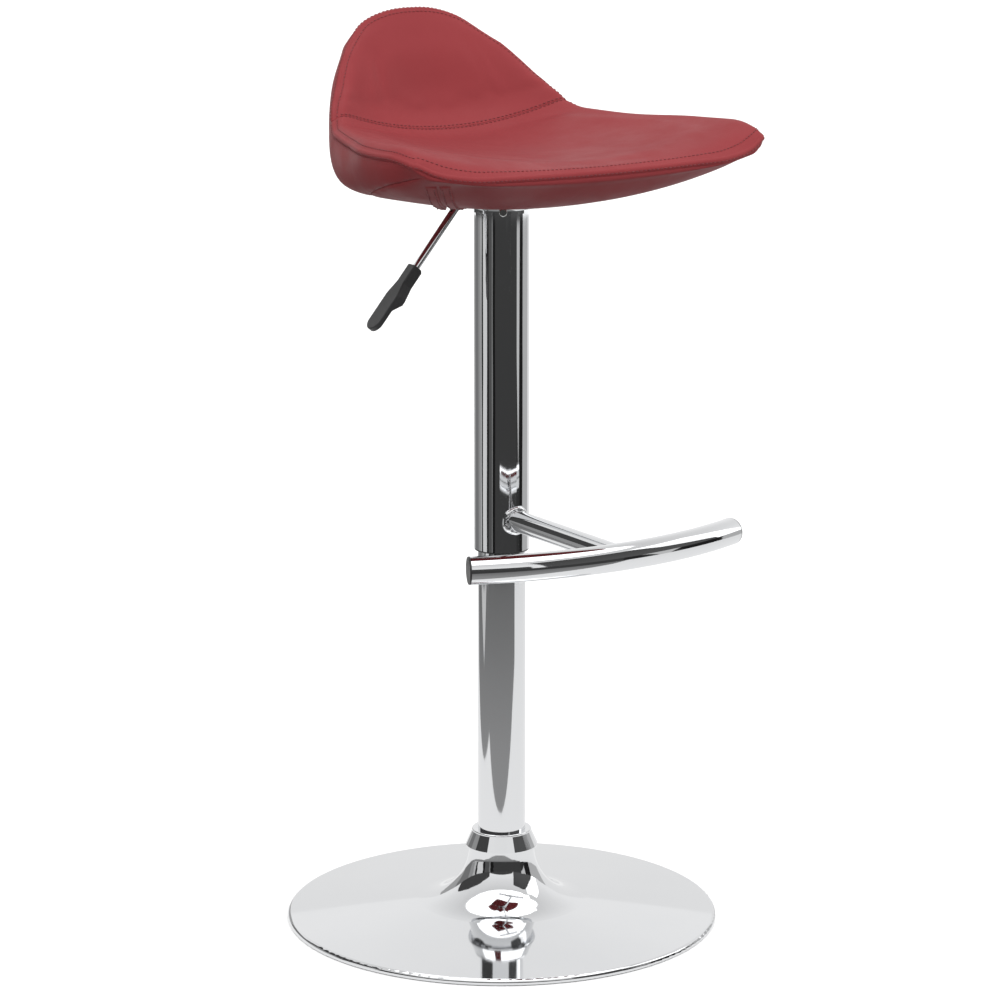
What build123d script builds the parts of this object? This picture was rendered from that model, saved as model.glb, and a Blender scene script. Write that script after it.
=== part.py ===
from build123d import *
from math import asin, cos, degrees, radians, sin, sqrt, tan
from collections import namedtuple
import os

# Adjustable swivel stool: a gas-lift bar stool with a low padded back.
# Millimetres. Origin at the centre of the base on the floor, +Z up, +X where the sitter faces.
# The model stands at its full height, as the lift holds it when nobody has lowered it.

# Clearances
RUNNING = 0.06      # radial gap of a shaft that turns or slides in its bore
SEATED = 0.05       # radial gap of a part pressed or pushed into another
LOOSE = 0.3         # gap left between a soft or curved part and its neighbour

# Base
BASE_DIAMETER = 405.0
BASE_SHEET = 1.5            # wall of the spun steel
RIM_TOP = 6.0               # height of the rolled lip
RIM_ROUND = 3.5             # rounding of the lip
RIM_CLEAR = 1.0             # lip stays this far above the floor
DISC_SLOPE = 4.8            # degrees, fall of the disc towards the lip
FLARE_RADIUS = 52.0         # hollow curve between disc and neck
NECK_RADIUS = 31.0          # outside of the neck
FLOOR_RING_WIDTH = 13.0
FLOOR_RING_HEIGHT = 4.0
WEIGHT_RADIUS = 138.0
WEIGHT_BOTTOM = 3.0
WEIGHT_THICKNESS = 5.5
COLLAR_HEIGHT = 17.5
COLLAR_FOOT_RADIUS = 34.0
COLLAR_TOP_RADIUS = 28.0
COLLAR_FACETS = 32
COLLAR_SKIRT = 14.0         # depth of the collar inside the neck

# Column
TUBE_DIAMETER = 44.5
TUBE_WALL = 1.5
TUBE_TOP = 410.0
FOOT_FLANGE_RADIUS = 40.0
FOOT_FLANGE_THICKNESS = 6.0
FOOT_HEIGHT = 21.0
FOOT_SCREW_COUNT = 3
FOOT_SCREW_CIRCLE = 31.0
FOOT_SCREW_RADIUS = 3.0
FOOT_SCREW_HEAD_RADIUS = 5.0
FOOT_SCREW_HEAD_HEIGHT = 2.4
BUSH_LENGTH = 58.0
BUSH_LIP = 2.0

# Gas lift
LIFT_STROKE = 210.0
CYLINDER_DIAMETER = 28.0
CYLINDER_WALL = 1.6
CYLINDER_BOTTOM = 352.0
CYLINDER_TOP = 678.0
CYLINDER_HEAD = 18.0        # solid top that holds the valve
TAPER_LENGTH = 40.0
TAPER_TOP_DIAMETER = 26.0
GLAND_LENGTH = 10.0
ROD_DIAMETER = 10.0
PISTON_LENGTH = 9.0
VALVE_DIAMETER = 6.0
VALVE_LENGTH = 18.0
VALVE_PROUD = 8.2           # how far the pin stands above the cylinder
CLIP_RADIUS = 9.0
CLIP_THICKNESS = 1.6
RACE_RADIUS = 16.0
RACE_THICKNESS = 3.0
BALL_DIAMETER = 5.0
BALL_COUNT = 10
BALL_CIRCLE = 11.5          # radius of the ring of balls
BALL_PLAY = 0.1             # gap between a ball and each race
CAGE_THICKNESS = 2.6
CAGE_MARGIN = 4.0           # ring width either side of the ball circle
STOP_RADIUS = 12.0
STOP_HEIGHT = 9.0

# Sleeve and footrest
SLEEVE_DIAMETER = 51.0
SLEEVE_WALL = 1.5
SLEEVE_BOTTOM = 357.0
SLEEVE_TOP = 676.0
SLEEVE_BUSH_LENGTH = 38.0
SLEEVE_BUSH_LIP = 1.2
INSERT_LENGTH = 20.0
FLANGE_GRIP = 4.5           # length of the flange that holds the sleeve
FLANGE_RISE = 5.0           # height of its flare above the sleeve
FLANGE_WALL = 1.4
FLANGE_RADIUS = 32.0
FLANGE_SCREW_ANGLES = (-30.0, 90.0, 210.0)
FLANGE_SCREW_RADIUS = 2.0
FLANGE_SCREW_HEAD_RADIUS = 3.8
FLANGE_SCREW_HEAD_HEIGHT = 2.4
FOOTREST_HEIGHT = 387.0
STEM_DIAMETER = 20.0
WELD_RADIUS = 1.8
BAR_DIAMETER = 25.0
BAR_WALL = 1.5
BAR_REACH = 195.0           # column axis to the middle of the bar
BAR_BEND_RADIUS = 361.0
BAR_HALF_SPAN = 140.0
CAP_THICKNESS = 1.6
CAP_SPIGOT = 9.0

# Seat mounting and lever
SOCKET_RADIUS = 19.0
SOCKET_LENGTH = 55.0
PLATE_LENGTH = 118.0
PLATE_WIDTH = 100.0
PLATE_THICKNESS = 2.5
PLATE_CORNER = 12.0
PLATE_RIB_WIDTH = 8.0
PLATE_RIB_HEIGHT = 2.0
BOLT_SPACING_X = 90.0
BOLT_SPACING_Y = 66.0
BOLT_DIAMETER = 6.0
BOLT_HEAD_RADIUS = 5.5
BOLT_HEAD_HEIGHT = 3.2
WASHER_RADIUS = 7.0
WASHER_THICKNESS = 1.2
SPACER_RADIUS = 8.0
SPACER_HEIGHT = 2.0
TEE_NUT_RADIUS = 8.5
TEE_NUT_FLANGE = 1.4
TEE_NUT_BARREL = 4.2
LEVER_DIAMETER = 7.0
LEVER_HEIGHT = 690.0        # axis of the lever's level inner part
LEVER_PIVOT = 28.0          # column axis to the pivot
LEVER_BEND = 39.0           # column axis to the bend
LEVER_BEND_RADIUS = 10.0
LEVER_DROP_ANGLE = 50.0     # degrees below level
LEVER_OUTER = 104.0         # length of the sloping part
LEVER_TIP = 1.5             # inner end past the column axis
LEVER_TRAVEL = 7.0          # degrees
PIN_DIAMETER = 4.0
EAR_THICKNESS = 2.5
EAR_WIDTH = 12.0
EAR_DROP = 4.5              # ear below the pivot
HANDLE_LENGTH = 71.0
HANDLE_SOCKET = 22.0        # depth of the rod in the handle
SOCKET_SQUARE = 11.2        # side of the square socket
PADDLE_WIDTH = 18.6
PADDLE_THICKNESS = 5.2
SHOULDER_START = 19.0       # where the top begins to widen
SHOULDER_END = 33.0
SHOULDER_ROUND = 8.0
STEP_START = 37.0           # where the socket begins to step up into the paddle
STEP_END = 47.0
MOUTH_CHAMFER = 2.2
HANDLE_ROUND = 0.9

# Seat
SEAT_FRONT = 166.5          # column axis to the front edge
SEAT_HALF_WIDTH = 198.0
PAN_HEIGHT = 725.5          # sitting surface on the centre line
DISH_LIFT = 28.0            # rise of the side edges above the centre line
SEAT_DEPTH = 45.0           # sitting surface to the underside
BACK_BEND = 70.0            # radius between the pan and the back
BACK_BEND_START = 60.0      # column axis to the start of that bend
BACK_LEAN = 17.0            # degrees
BACK_RISE = 71.0            # straight part of the back above the bend
PAD_THICKNESS = 17.0
PAD_EDGE = 8.0
PLY_THICKNESS = 7.5
PLY_GAP = 0.6               # pad to plywood
COVER_GAP = 0.7             # pads to the rim of the lower cover
PLY_RISE = 26.0             # plywood up the straight part of the back
PLY_INSET = 28.0            # plywood edge inside the cushion edge
PLY_FRONT_INSET = 42.0
COVER_WALL = 3.0
BAND_WALL = 10.0            # padding at the rim of the lower cover
SEAM_TURN = 28.0            # degrees round the bend to the cross seam
SEAM_GAP = 0.6
BAND_FRONT = (141.0, 729.0)     # X and Z of the band's lower seam near the front corner
BAND_SLOPE = 13.8                # degrees, fall of that seam towards the back
COLUMN_HOLE_GAP = 4.0           # open ring between flange and cover
SLIT_HALF_WIDTH = 6.5
SLIT_INNER = 31.0
SLIT_OUTER = 64.0
SLIT_CORNER = 3.0

# Sizes worked out from those above
base_radius = BASE_DIAMETER / 2
tube_radius = TUBE_DIAMETER / 2
tube_inner = tube_radius - TUBE_WALL
sleeve_radius = SLEEVE_DIAMETER / 2
sleeve_inner = sleeve_radius - SLEEVE_WALL
cylinder_radius = CYLINDER_DIAMETER / 2
rod_radius = ROD_DIAMETER / 2
slope = radians(DISC_SLOPE)
flare_centre_r = NECK_RADIUS + FLARE_RADIUS
flare_foot_r = flare_centre_r - FLARE_RADIUS * sin(slope)
rim_inner_r = base_radius - RIM_ROUND
flare_foot_z = RIM_TOP + (rim_inner_r - flare_foot_r) * tan(slope)
neck_top = flare_foot_z + FLARE_RADIUS * cos(slope)
weight_top = WEIGHT_BOTTOM + WEIGHT_THICKNESS
foot_flange_top = weight_top + FOOT_FLANGE_THICKNESS
foot_top = weight_top + FOOT_HEIGHT
race_top = foot_top + RACE_THICKNESS
ball_height = race_top + BALL_PLAY + BALL_DIAMETER / 2
upper_race_bottom = race_top + 2 * BALL_PLAY + BALL_DIAMETER
stop_bottom = upper_race_bottom + RACE_THICKNESS
piston_bottom = CYLINDER_BOTTOM + GLAND_LENGTH + LOOSE
ply_bottom = PAN_HEIGHT - PAD_THICKNESS - PLY_GAP - PLY_THICKNESS
plate_top = ply_bottom - SPACER_HEIGHT
plate_bottom = plate_top - PLATE_THICKNESS

nodes = {}


def disc(radius, bottom, top, bore=0.0):
    """Upright round solid, with a through bore if one is given."""
    body = Cylinder(radius, top - bottom, align=(Align.CENTER, Align.CENTER, Align.MIN))
    if bore:
        body -= Cylinder(bore, top - bottom, align=(Align.CENTER, Align.CENTER, Align.MIN))
    return Pos(0, 0, bottom) * body


def turned(outline):
    """Solid of revolution about Z from a closed outline in the XZ plane."""
    return revolve(make_face(outline), Axis.Z)


def ring_of(solid, count, start=0.0):
    """Equal copies round Z as one group of separate solids."""
    step = 360.0 / count
    return Compound(children=[Rot(0, 0, start + step * k) * solid for k in range(count)])


# Base shell: a spun disc whose hollow flare rises into the neck
def flare_point(radius, turn):
    """Point on the flare, turn degrees down from its top."""
    return (flare_centre_r - radius * cos(radians(turn)), 0, neck_top - radius * sin(radians(turn)))


def base_outline():
    flare_end = 90.0 - DISC_SLOPE
    outer_rim = base_radius
    inner_rim = base_radius - BASE_SHEET
    inner_flare = FLARE_RADIUS + BASE_SHEET
    round_mid = RIM_ROUND * (1 - sqrt(0.5))
    inner_round = RIM_ROUND - BASE_SHEET
    inner_mid = BASE_SHEET + inner_round * (1 - sqrt(0.5))
    outer = [
        ThreePointArc(flare_point(FLARE_RADIUS, 0), flare_point(FLARE_RADIUS, flare_end / 2),
                      flare_point(FLARE_RADIUS, flare_end)),
        Line(flare_point(FLARE_RADIUS, flare_end), (rim_inner_r, 0, RIM_TOP)),
        ThreePointArc((rim_inner_r, 0, RIM_TOP), (outer_rim - round_mid, 0, RIM_TOP - round_mid),
                      (outer_rim, 0, RIM_TOP - RIM_ROUND)),
        Line((outer_rim, 0, RIM_TOP - RIM_ROUND), (outer_rim, 0, RIM_CLEAR)),
        Line((outer_rim, 0, RIM_CLEAR), (inner_rim, 0, RIM_CLEAR)),
        Line((inner_rim, 0, RIM_CLEAR), (inner_rim, 0, RIM_TOP - RIM_ROUND)),
        ThreePointArc((inner_rim, 0, RIM_TOP - RIM_ROUND), (outer_rim - inner_mid, 0, RIM_TOP - inner_mid),
                      (rim_inner_r, 0, RIM_TOP - BASE_SHEET)),
        Line((rim_inner_r, 0, RIM_TOP - BASE_SHEET), flare_point(inner_flare, flare_end)),
        ThreePointArc(flare_point(inner_flare, flare_end), flare_point(inner_flare, flare_end / 2),
                      flare_point(inner_flare, 0)),
        Line(flare_point(inner_flare, 0), flare_point(FLARE_RADIUS, 0)),
    ]
    return outer


nodes["base_shell"] = turned(base_outline())

# Floor ring: plastic tyre inside the lip, the only part that meets the floor
ring_outer = base_radius - BASE_SHEET - SEATED
ring_inner = ring_outer - FLOOR_RING_WIDTH
nodes["floor_ring"] = disc(ring_outer, 0, RIM_TOP - RIM_ROUND, ring_inner)
nodes["floor_ring"] += disc(rim_inner_r - BASE_SHEET, 0, FLOOR_RING_HEIGHT, ring_inner)

# Base weight: flat steel plate that keeps the stool upright
nodes["base_weight"] = disc(WEIGHT_RADIUS, WEIGHT_BOTTOM, weight_top, CLIP_RADIUS + LOOSE)

# Column foot: turned hub that plugs the tube and seats the thrust bearing
foot = disc(FOOT_FLANGE_RADIUS, weight_top, foot_flange_top)
foot += disc(tube_inner - SEATED, weight_top, foot_top)
foot -= disc(rod_radius + RUNNING, 0, foot_top)
foot -= disc(CLIP_RADIUS + LOOSE, 0, foot_flange_top)
foot_hole = Pos(FOOT_SCREW_CIRCLE, 0, 0) * disc(FOOT_SCREW_RADIUS + SEATED, 0, foot_flange_top)
foot -= ring_of(foot_hole, FOOT_SCREW_COUNT)
nodes["column_foot"] = foot
weight_hole = Pos(FOOT_SCREW_CIRCLE, 0, 0) * disc(FOOT_SCREW_RADIUS + SEATED, 0, weight_top)
weight_sink = Pos(FOOT_SCREW_CIRCLE, 0, 0) * disc(
    FOOT_SCREW_HEAD_RADIUS + LOOSE, 0, WEIGHT_BOTTOM + FOOT_SCREW_HEAD_HEIGHT)
nodes["base_weight"] -= ring_of(weight_hole, FOOT_SCREW_COUNT)
nodes["base_weight"] -= ring_of(weight_sink, FOOT_SCREW_COUNT)

# Foot screws: countersunk into the weight from below
screw = disc(FOOT_SCREW_RADIUS, WEIGHT_BOTTOM, foot_flange_top)
screw += disc(FOOT_SCREW_HEAD_RADIUS, WEIGHT_BOTTOM, WEIGHT_BOTTOM + FOOT_SCREW_HEAD_HEIGHT)
nodes["foot_screws"] = ring_of(Pos(FOOT_SCREW_CIRCLE, 0, 0) * screw, FOOT_SCREW_COUNT)

# Column tube
nodes["column_tube"] = disc(tube_radius, foot_flange_top, TUBE_TOP, tube_inner)

# Base collar: faceted ring that covers the joint of tube and neck
def faceted_collar():
    facet_foot = neck_top + 2.0
    facet_top = neck_top + COLLAR_HEIGHT - 2.0
    foot_face = Pos(0, 0, facet_foot) * RegularPolygon(COLLAR_FOOT_RADIUS, COLLAR_FACETS)
    top_face = Pos(0, 0, facet_top) * RegularPolygon(COLLAR_TOP_RADIUS, COLLAR_FACETS)
    body = loft([foot_face, top_face], ruled=True)
    body += disc(COLLAR_FOOT_RADIUS - 0.6, neck_top, facet_foot)
    lip = disc(COLLAR_TOP_RADIUS, facet_top, neck_top + COLLAR_HEIGHT)
    body += fillet(lip.edges().sort_by(Axis.Z)[-1:], 1.2)
    body += disc(NECK_RADIUS - BASE_SHEET - SEATED, neck_top - COLLAR_SKIRT, neck_top)
    return body - disc(tube_radius + SEATED, neck_top - COLLAR_SKIRT, neck_top + COLLAR_HEIGHT)


nodes["base_collar"] = faceted_collar()

# Tube bush: plastic guide of the gas cylinder at the tube's top
nodes["tube_bush"] = disc(tube_inner - SEATED, TUBE_TOP - BUSH_LENGTH, TUBE_TOP)
nodes["tube_bush"] += disc(tube_radius - LOOSE, TUBE_TOP, TUBE_TOP + BUSH_LIP)
nodes["tube_bush"] -= disc(cylinder_radius + RUNNING, TUBE_TOP - BUSH_LENGTH, TUBE_TOP + BUSH_LIP)

# Thrust bearing: two flat races with a caged ring of balls between them
nodes["lower_race"] = disc(RACE_RADIUS, foot_top, race_top, rod_radius + LOOSE)
nodes["upper_race"] = disc(RACE_RADIUS, upper_race_bottom, stop_bottom, rod_radius + SEATED)
cage_bottom = ball_height - CAGE_THICKNESS / 2
cage_top = ball_height + CAGE_THICKNESS / 2
cage = disc(BALL_CIRCLE + CAGE_MARGIN, cage_bottom, cage_top, BALL_CIRCLE - CAGE_MARGIN)
pocket = Pos(BALL_CIRCLE, 0, 0) * disc(BALL_DIAMETER / 2 + SEATED, cage_bottom, cage_top)
nodes["ball_cage"] = cage - ring_of(pocket, BALL_COUNT)
nodes["bearing_balls"] = ring_of(Pos(BALL_CIRCLE, 0, ball_height) * Sphere(BALL_DIAMETER / 2), BALL_COUNT)

# Piston rod: stands on the bearing and is held below the foot by a clip
rod_bottom = weight_top - CLIP_THICKNESS
nodes["piston_rod"] = disc(rod_radius, rod_bottom, piston_bottom + PISTON_LENGTH)
nodes["rod_clip"] = disc(CLIP_RADIUS, foot_flange_top - LOOSE - CLIP_THICKNESS, foot_flange_top - LOOSE,
                         rod_radius + SEATED)
nodes["bump_stop"] = disc(STOP_RADIUS, stop_bottom, stop_bottom + STOP_HEIGHT, rod_radius + SEATED)
piston_outer = cylinder_radius - CYLINDER_WALL - RUNNING
nodes["piston"] = disc(piston_outer, piston_bottom, piston_bottom + PISTON_LENGTH, rod_radius + SEATED)

# Gas cylinder: closed at the top by a tapered head with the valve in it
taper_bottom = CYLINDER_TOP - TAPER_LENGTH
taper_radius = TAPER_TOP_DIAMETER / 2


def tapered(extra, bottom, top):
    """Solid with the taper's side, grown by extra all round, between two heights."""
    rate = (taper_radius - cylinder_radius) / TAPER_LENGTH
    low = cylinder_radius + extra + rate * (bottom - taper_bottom)
    high = cylinder_radius + extra + rate * (top - taper_bottom)
    cone = Cone(low, high, top - bottom, align=(Align.CENTER, Align.CENTER, Align.MIN))
    return Pos(0, 0, bottom) * cone


cylinder = disc(cylinder_radius, CYLINDER_BOTTOM, taper_bottom) + tapered(0, taper_bottom, CYLINDER_TOP)
cylinder -= disc(cylinder_radius - CYLINDER_WALL, CYLINDER_BOTTOM, taper_bottom - CYLINDER_HEAD)
cylinder -= disc(taper_radius - CYLINDER_WALL, CYLINDER_BOTTOM, CYLINDER_TOP - CYLINDER_HEAD)
cylinder -= disc(VALVE_DIAMETER / 2 + RUNNING, CYLINDER_BOTTOM, CYLINDER_TOP)
nodes["gas_cylinder"] = cylinder
nodes["cylinder_gland"] = disc(cylinder_radius - CYLINDER_WALL - SEATED, CYLINDER_BOTTOM,
                               CYLINDER_BOTTOM + GLAND_LENGTH, rod_radius + RUNNING)
valve_top = CYLINDER_TOP + VALVE_PROUD
nodes["valve_pin"] = disc(VALVE_DIAMETER / 2, valve_top - VALVE_LENGTH, valve_top)

# Sleeve: tube that hides the gas cylinder and slides over the column
nodes["sleeve_tube"] = disc(sleeve_radius, SLEEVE_BOTTOM, SLEEVE_TOP, sleeve_inner)
nodes["sleeve_bush"] = disc(sleeve_inner - SEATED, SLEEVE_BOTTOM, SLEEVE_BOTTOM + SLEEVE_BUSH_LENGTH)
nodes["sleeve_bush"] += disc(sleeve_radius - LOOSE, SLEEVE_BOTTOM - SLEEVE_BUSH_LIP, SLEEVE_BOTTOM)
nodes["sleeve_bush"] -= disc(tube_radius + RUNNING, SLEEVE_BOTTOM - SLEEVE_BUSH_LIP,
                             SLEEVE_BOTTOM + SLEEVE_BUSH_LENGTH)
nodes["sleeve_insert"] = disc(sleeve_inner - SEATED, SLEEVE_TOP - INSERT_LENGTH, SLEEVE_TOP,
                              SOCKET_RADIUS + SEATED)

# Sleeve flange: flared trim ring held to the sleeve by three screws
flange_inner = sleeve_radius + SEATED
flange_bottom = SLEEVE_TOP - FLANGE_GRIP
flange_top = SLEEVE_TOP + FLANGE_RISE
flare_sag = (FLANGE_RADIUS - flange_inner) * 0.18


def flange_outline():
    rise_mid = (SLEEVE_TOP + flange_top) / 2
    run_mid = (flange_inner + FLANGE_RADIUS) / 2 - flare_sag
    return [
        Line((flange_inner, 0, flange_bottom), (flange_inner, 0, SLEEVE_TOP)),
        ThreePointArc((flange_inner, 0, SLEEVE_TOP), (run_mid - FLANGE_WALL, 0, rise_mid),
                      (FLANGE_RADIUS - FLANGE_WALL, 0, flange_top)),
        Line((FLANGE_RADIUS - FLANGE_WALL, 0, flange_top), (FLANGE_RADIUS, 0, flange_top)),
        ThreePointArc((FLANGE_RADIUS, 0, flange_top),
                      (run_mid + FLANGE_WALL / 2, 0, rise_mid - FLANGE_WALL / 2),
                      (flange_inner + FLANGE_WALL, 0, SLEEVE_TOP - FLANGE_WALL)),
        Line((flange_inner + FLANGE_WALL, 0, SLEEVE_TOP - FLANGE_WALL),
             (flange_inner + FLANGE_WALL, 0, flange_bottom)),
        Line((flange_inner + FLANGE_WALL, 0, flange_bottom), (flange_inner, 0, flange_bottom)),
    ]


flange_screw_height = flange_bottom + FLANGE_GRIP / 2
flange_face = flange_inner + FLANGE_WALL
screw_inner = SOCKET_RADIUS + SEATED + LOOSE


def radial(solid, angle):
    """Stand an upright solid on its side, pointing out from the column at an angle."""
    return Rot(0, 0, angle) * Pos(0, 0, flange_screw_height) * Rot(0, 90, 0) * solid


screw_hole = disc(FLANGE_SCREW_RADIUS + SEATED, screw_inner, flange_face + FLANGE_SCREW_HEAD_HEIGHT)
flange_screw = disc(FLANGE_SCREW_RADIUS, screw_inner, flange_face)
flange_head = disc(FLANGE_SCREW_HEAD_RADIUS, flange_face, flange_face + FLANGE_SCREW_HEAD_HEIGHT)
flange_screw += fillet(flange_head.edges().sort_by(Axis.Z)[-1:], FLANGE_SCREW_HEAD_HEIGHT / 2)
screw_holes = Compound(children=[radial(screw_hole, angle) for angle in FLANGE_SCREW_ANGLES])
head_beds = Compound(children=[
    radial(disc(FLANGE_SCREW_HEAD_RADIUS + SEATED, flange_face, FLANGE_RADIUS), angle)
    for angle in FLANGE_SCREW_ANGLES])
nodes["sleeve_flange"] = turned(flange_outline()) - screw_holes - head_beds
nodes["flange_screws"] = Compound(children=[radial(flange_screw, angle) for angle in FLANGE_SCREW_ANGLES])
nodes["sleeve_tube"] -= screw_holes
nodes["sleeve_insert"] -= screw_holes

# Mount socket: takes the cylinder's taper, with a slot for the lever
socket_bottom = plate_bottom - SOCKET_LENGTH
lever_radius = LEVER_DIAMETER / 2
socket = disc(SOCKET_RADIUS, socket_bottom, plate_bottom)
socket -= tapered(SEATED, socket_bottom, CYLINDER_TOP)
socket -= disc(taper_radius + LOOSE, CYLINDER_TOP, plate_bottom)
slot_bottom = CYLINDER_TOP + LOOSE
slot_half = lever_radius + LOOSE
socket -= Pos(0, -SOCKET_RADIUS / 2, 0) * extrude(
    Pos(0, 0, slot_bottom) * Rectangle(2 * slot_half, SOCKET_RADIUS), plate_bottom - slot_bottom)
nodes["mount_socket"] = socket

# Mount plate: pressed steel with two stiffening ribs along its sides
bolt_places = [(sx * BOLT_SPACING_X / 2, sy * BOLT_SPACING_Y / 2) for sx in (-1, 1) for sy in (-1, 1)]


def at_bolts(solid):
    return Compound(children=[Pos(x, y, 0) * solid for x, y in bolt_places])


plate_outline = RectangleRounded(PLATE_LENGTH, PLATE_WIDTH, PLATE_CORNER)
plate = extrude(Pos(0, 0, plate_bottom) * plate_outline, PLATE_THICKNESS)
for side in (-1, 1):
    rib_y = side * (PLATE_WIDTH - PLATE_RIB_WIDTH) / 2
    rib = Pos(0, rib_y, plate_bottom - PLATE_RIB_HEIGHT) * RectangleRounded(
        PLATE_LENGTH - 2 * PLATE_CORNER, PLATE_RIB_WIDTH, PLATE_RIB_WIDTH / 2 - LOOSE)
    plate += extrude(rib, PLATE_RIB_HEIGHT)
bolt_radius = BOLT_DIAMETER / 2
plate -= at_bolts(disc(bolt_radius + LOOSE, plate_bottom, plate_top))
nodes["mount_plate"] = plate
washer_bottom = plate_bottom - WASHER_THICKNESS
nodes["bolt_washers"] = at_bolts(disc(WASHER_RADIUS, washer_bottom, plate_bottom, bolt_radius + SEATED))

# Lever: bent rod through the socket, hung on a pin between two ears
drop = radians(LEVER_DROP_ANGLE)
lever_end = (0, -LEVER_BEND - LEVER_OUTER * cos(drop), LEVER_HEIGHT - LEVER_OUTER * sin(drop))
lever_path = FilletPolyline((0, LEVER_TIP, LEVER_HEIGHT), (0, -LEVER_BEND, LEVER_HEIGHT), lever_end,
                            radius=LEVER_BEND_RADIUS)
lever_face = Plane((0, LEVER_TIP, LEVER_HEIGHT), z_dir=(0, -1, 0)) * Circle(lever_radius)
lever = sweep(lever_face, path=lever_path)
pin_radius = PIN_DIAMETER / 2
pin_line = Pos(0, -LEVER_PIVOT, LEVER_HEIGHT) * Rot(0, 90, 0)
ear_inner = lever_radius + LOOSE
pin_half = ear_inner + EAR_THICKNESS
nodes["lever_rod"] = lever - pin_line * Cylinder(pin_radius + RUNNING, 2 * pin_half)
ears = Part()
ear_height = plate_bottom - (LEVER_HEIGHT - EAR_DROP)
for side in (-1, 1):
    ear_place = Pos(side * (ear_inner + EAR_THICKNESS / 2), -LEVER_PIVOT, plate_bottom - ear_height / 2)
    ears += ear_place * Box(EAR_THICKNESS, EAR_WIDTH, ear_height)
nodes["lever_bracket"] = ears - pin_line * Cylinder(pin_radius + SEATED, 2 * pin_half)
nodes["lever_pin"] = pin_line * Cylinder(pin_radius, 2 * pin_half)


# Lever handle: moulded grip, a square socket under a flat paddle that widens past it
handle_axis = Vector(0, -cos(drop), -sin(drop))
handle_start = Vector(*lever_end) - handle_axis * HANDLE_SOCKET
handle_top = Plane(handle_start, x_dir=handle_axis, z_dir=(0, -sin(drop), cos(drop)))
handle_side = Plane(handle_start, x_dir=handle_axis, z_dir=(-1, 0, 0))
socket_half = SOCKET_SQUARE / 2
paddle_half = PADDLE_WIDTH / 2
paddle_end = HANDLE_LENGTH - paddle_half


def handle_plan():
    """Outline seen from above: narrow socket, sloping shoulders, round end."""
    half = [(0, socket_half), (SHOULDER_START, socket_half),
            (SHOULDER_END, paddle_half), (paddle_end, paddle_half)]
    near = Polyline(*half)
    far = Polyline(*[(run, -across) for run, across in half])
    end = ThreePointArc(half[-1], (HANDLE_LENGTH, 0), (paddle_end, -paddle_half))
    mouth = Line(half[0], (0, -socket_half))
    plan = make_face([near, far, end, mouth])
    return fillet(plan.vertices().filter_by(lambda v: 0 < v.X < paddle_end - paddle_half), SHOULDER_ROUND)


def handle_profile():
    """Outline seen from the side: level top, socket below that steps up to the paddle."""
    paddle_low = socket_half - PADDLE_THICKNESS
    points = [(0, socket_half), (HANDLE_LENGTH, socket_half),
              (HANDLE_LENGTH, paddle_low), (STEP_END, paddle_low),
              (STEP_START, -socket_half), (MOUTH_CHAMFER, -socket_half), (0, MOUTH_CHAMFER - socket_half)]
    return make_face(Polyline(*points, close=True))


handle = extrude(handle_top * handle_plan(), SOCKET_SQUARE / 2, both=True)
handle &= extrude(handle_side * handle_profile(), PADDLE_WIDTH, both=True)
handle = fillet(handle.edges(), HANDLE_ROUND)
rod_bore = Plane(handle_start, z_dir=handle_axis) * Cylinder(
    lever_radius + SEATED, HANDLE_SOCKET, align=(Align.CENTER, Align.CENTER, Align.MIN))
nodes["lever_handle"] = handle - rod_bore

# Footrest: a stem welded to the sleeve and to the middle of a curved bar
bar_radius = BAR_DIAMETER / 2
bar_centre_x = BAR_REACH - BAR_BEND_RADIUS
bar_turn = degrees(asin(BAR_HALF_SPAN / BAR_BEND_RADIUS))


def bar_solid(radius):
    face = Plane.XZ * Pos(BAR_BEND_RADIUS, FOOTREST_HEIGHT) * Circle(radius)
    body = revolve(Rot(0, 0, -bar_turn) * face, Axis.Z, 2 * bar_turn)
    return Pos(bar_centre_x, 0, 0) * body


bar_outside = bar_solid(bar_radius)
nodes["footrest_bar"] = bar_outside - bar_solid(bar_radius - BAR_WALL)
stem_axis = Pos(0, 0, FOOTREST_HEIGHT) * Rot(0, 90, 0)
stem = stem_axis * Cylinder(STEM_DIAMETER / 2, BAR_REACH, align=(Align.CENTER, Align.CENTER, Align.MIN))
weld = stem_axis * Pos(0, 0, sleeve_radius) * Torus(STEM_DIAMETER / 2, WELD_RADIUS)
stem += weld
stem -= disc(sleeve_radius, FOOTREST_HEIGHT - BAR_REACH / 2, FOOTREST_HEIGHT + BAR_REACH / 2)
stem -= bar_outside
nodes["footrest_stem"] = stem.solids().sort_by(SortBy.VOLUME)[-1]


def footrest_cap(side):
    turn = radians(side * bar_turn)
    tangent = Vector(-sin(turn), cos(turn), 0) * side
    end = Vector(bar_centre_x + BAR_BEND_RADIUS * cos(turn), BAR_BEND_RADIUS * sin(turn), FOOTREST_HEIGHT)
    spigot = disc(bar_radius - BAR_WALL - LOOSE, -CAP_SPIGOT, 0)
    head = disc(bar_radius, 0, CAP_THICKNESS)
    head = fillet(head.edges().sort_by(Axis.Z)[-1:], CAP_THICKNESS / 2)
    return Plane(end, z_dir=tangent) * (head + spigot)


nodes["footrest_caps"] = Compound(children=[footrest_cap(side) for side in (-1, 1)])

# Seat: sections across a line that runs from the front edge, back along the pan,
# round the bend and up the back. Each has a dished top, drawn-in sides and a full underside.
Station = namedtuple("Station", "plane width lift depth shoulder drop")

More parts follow.
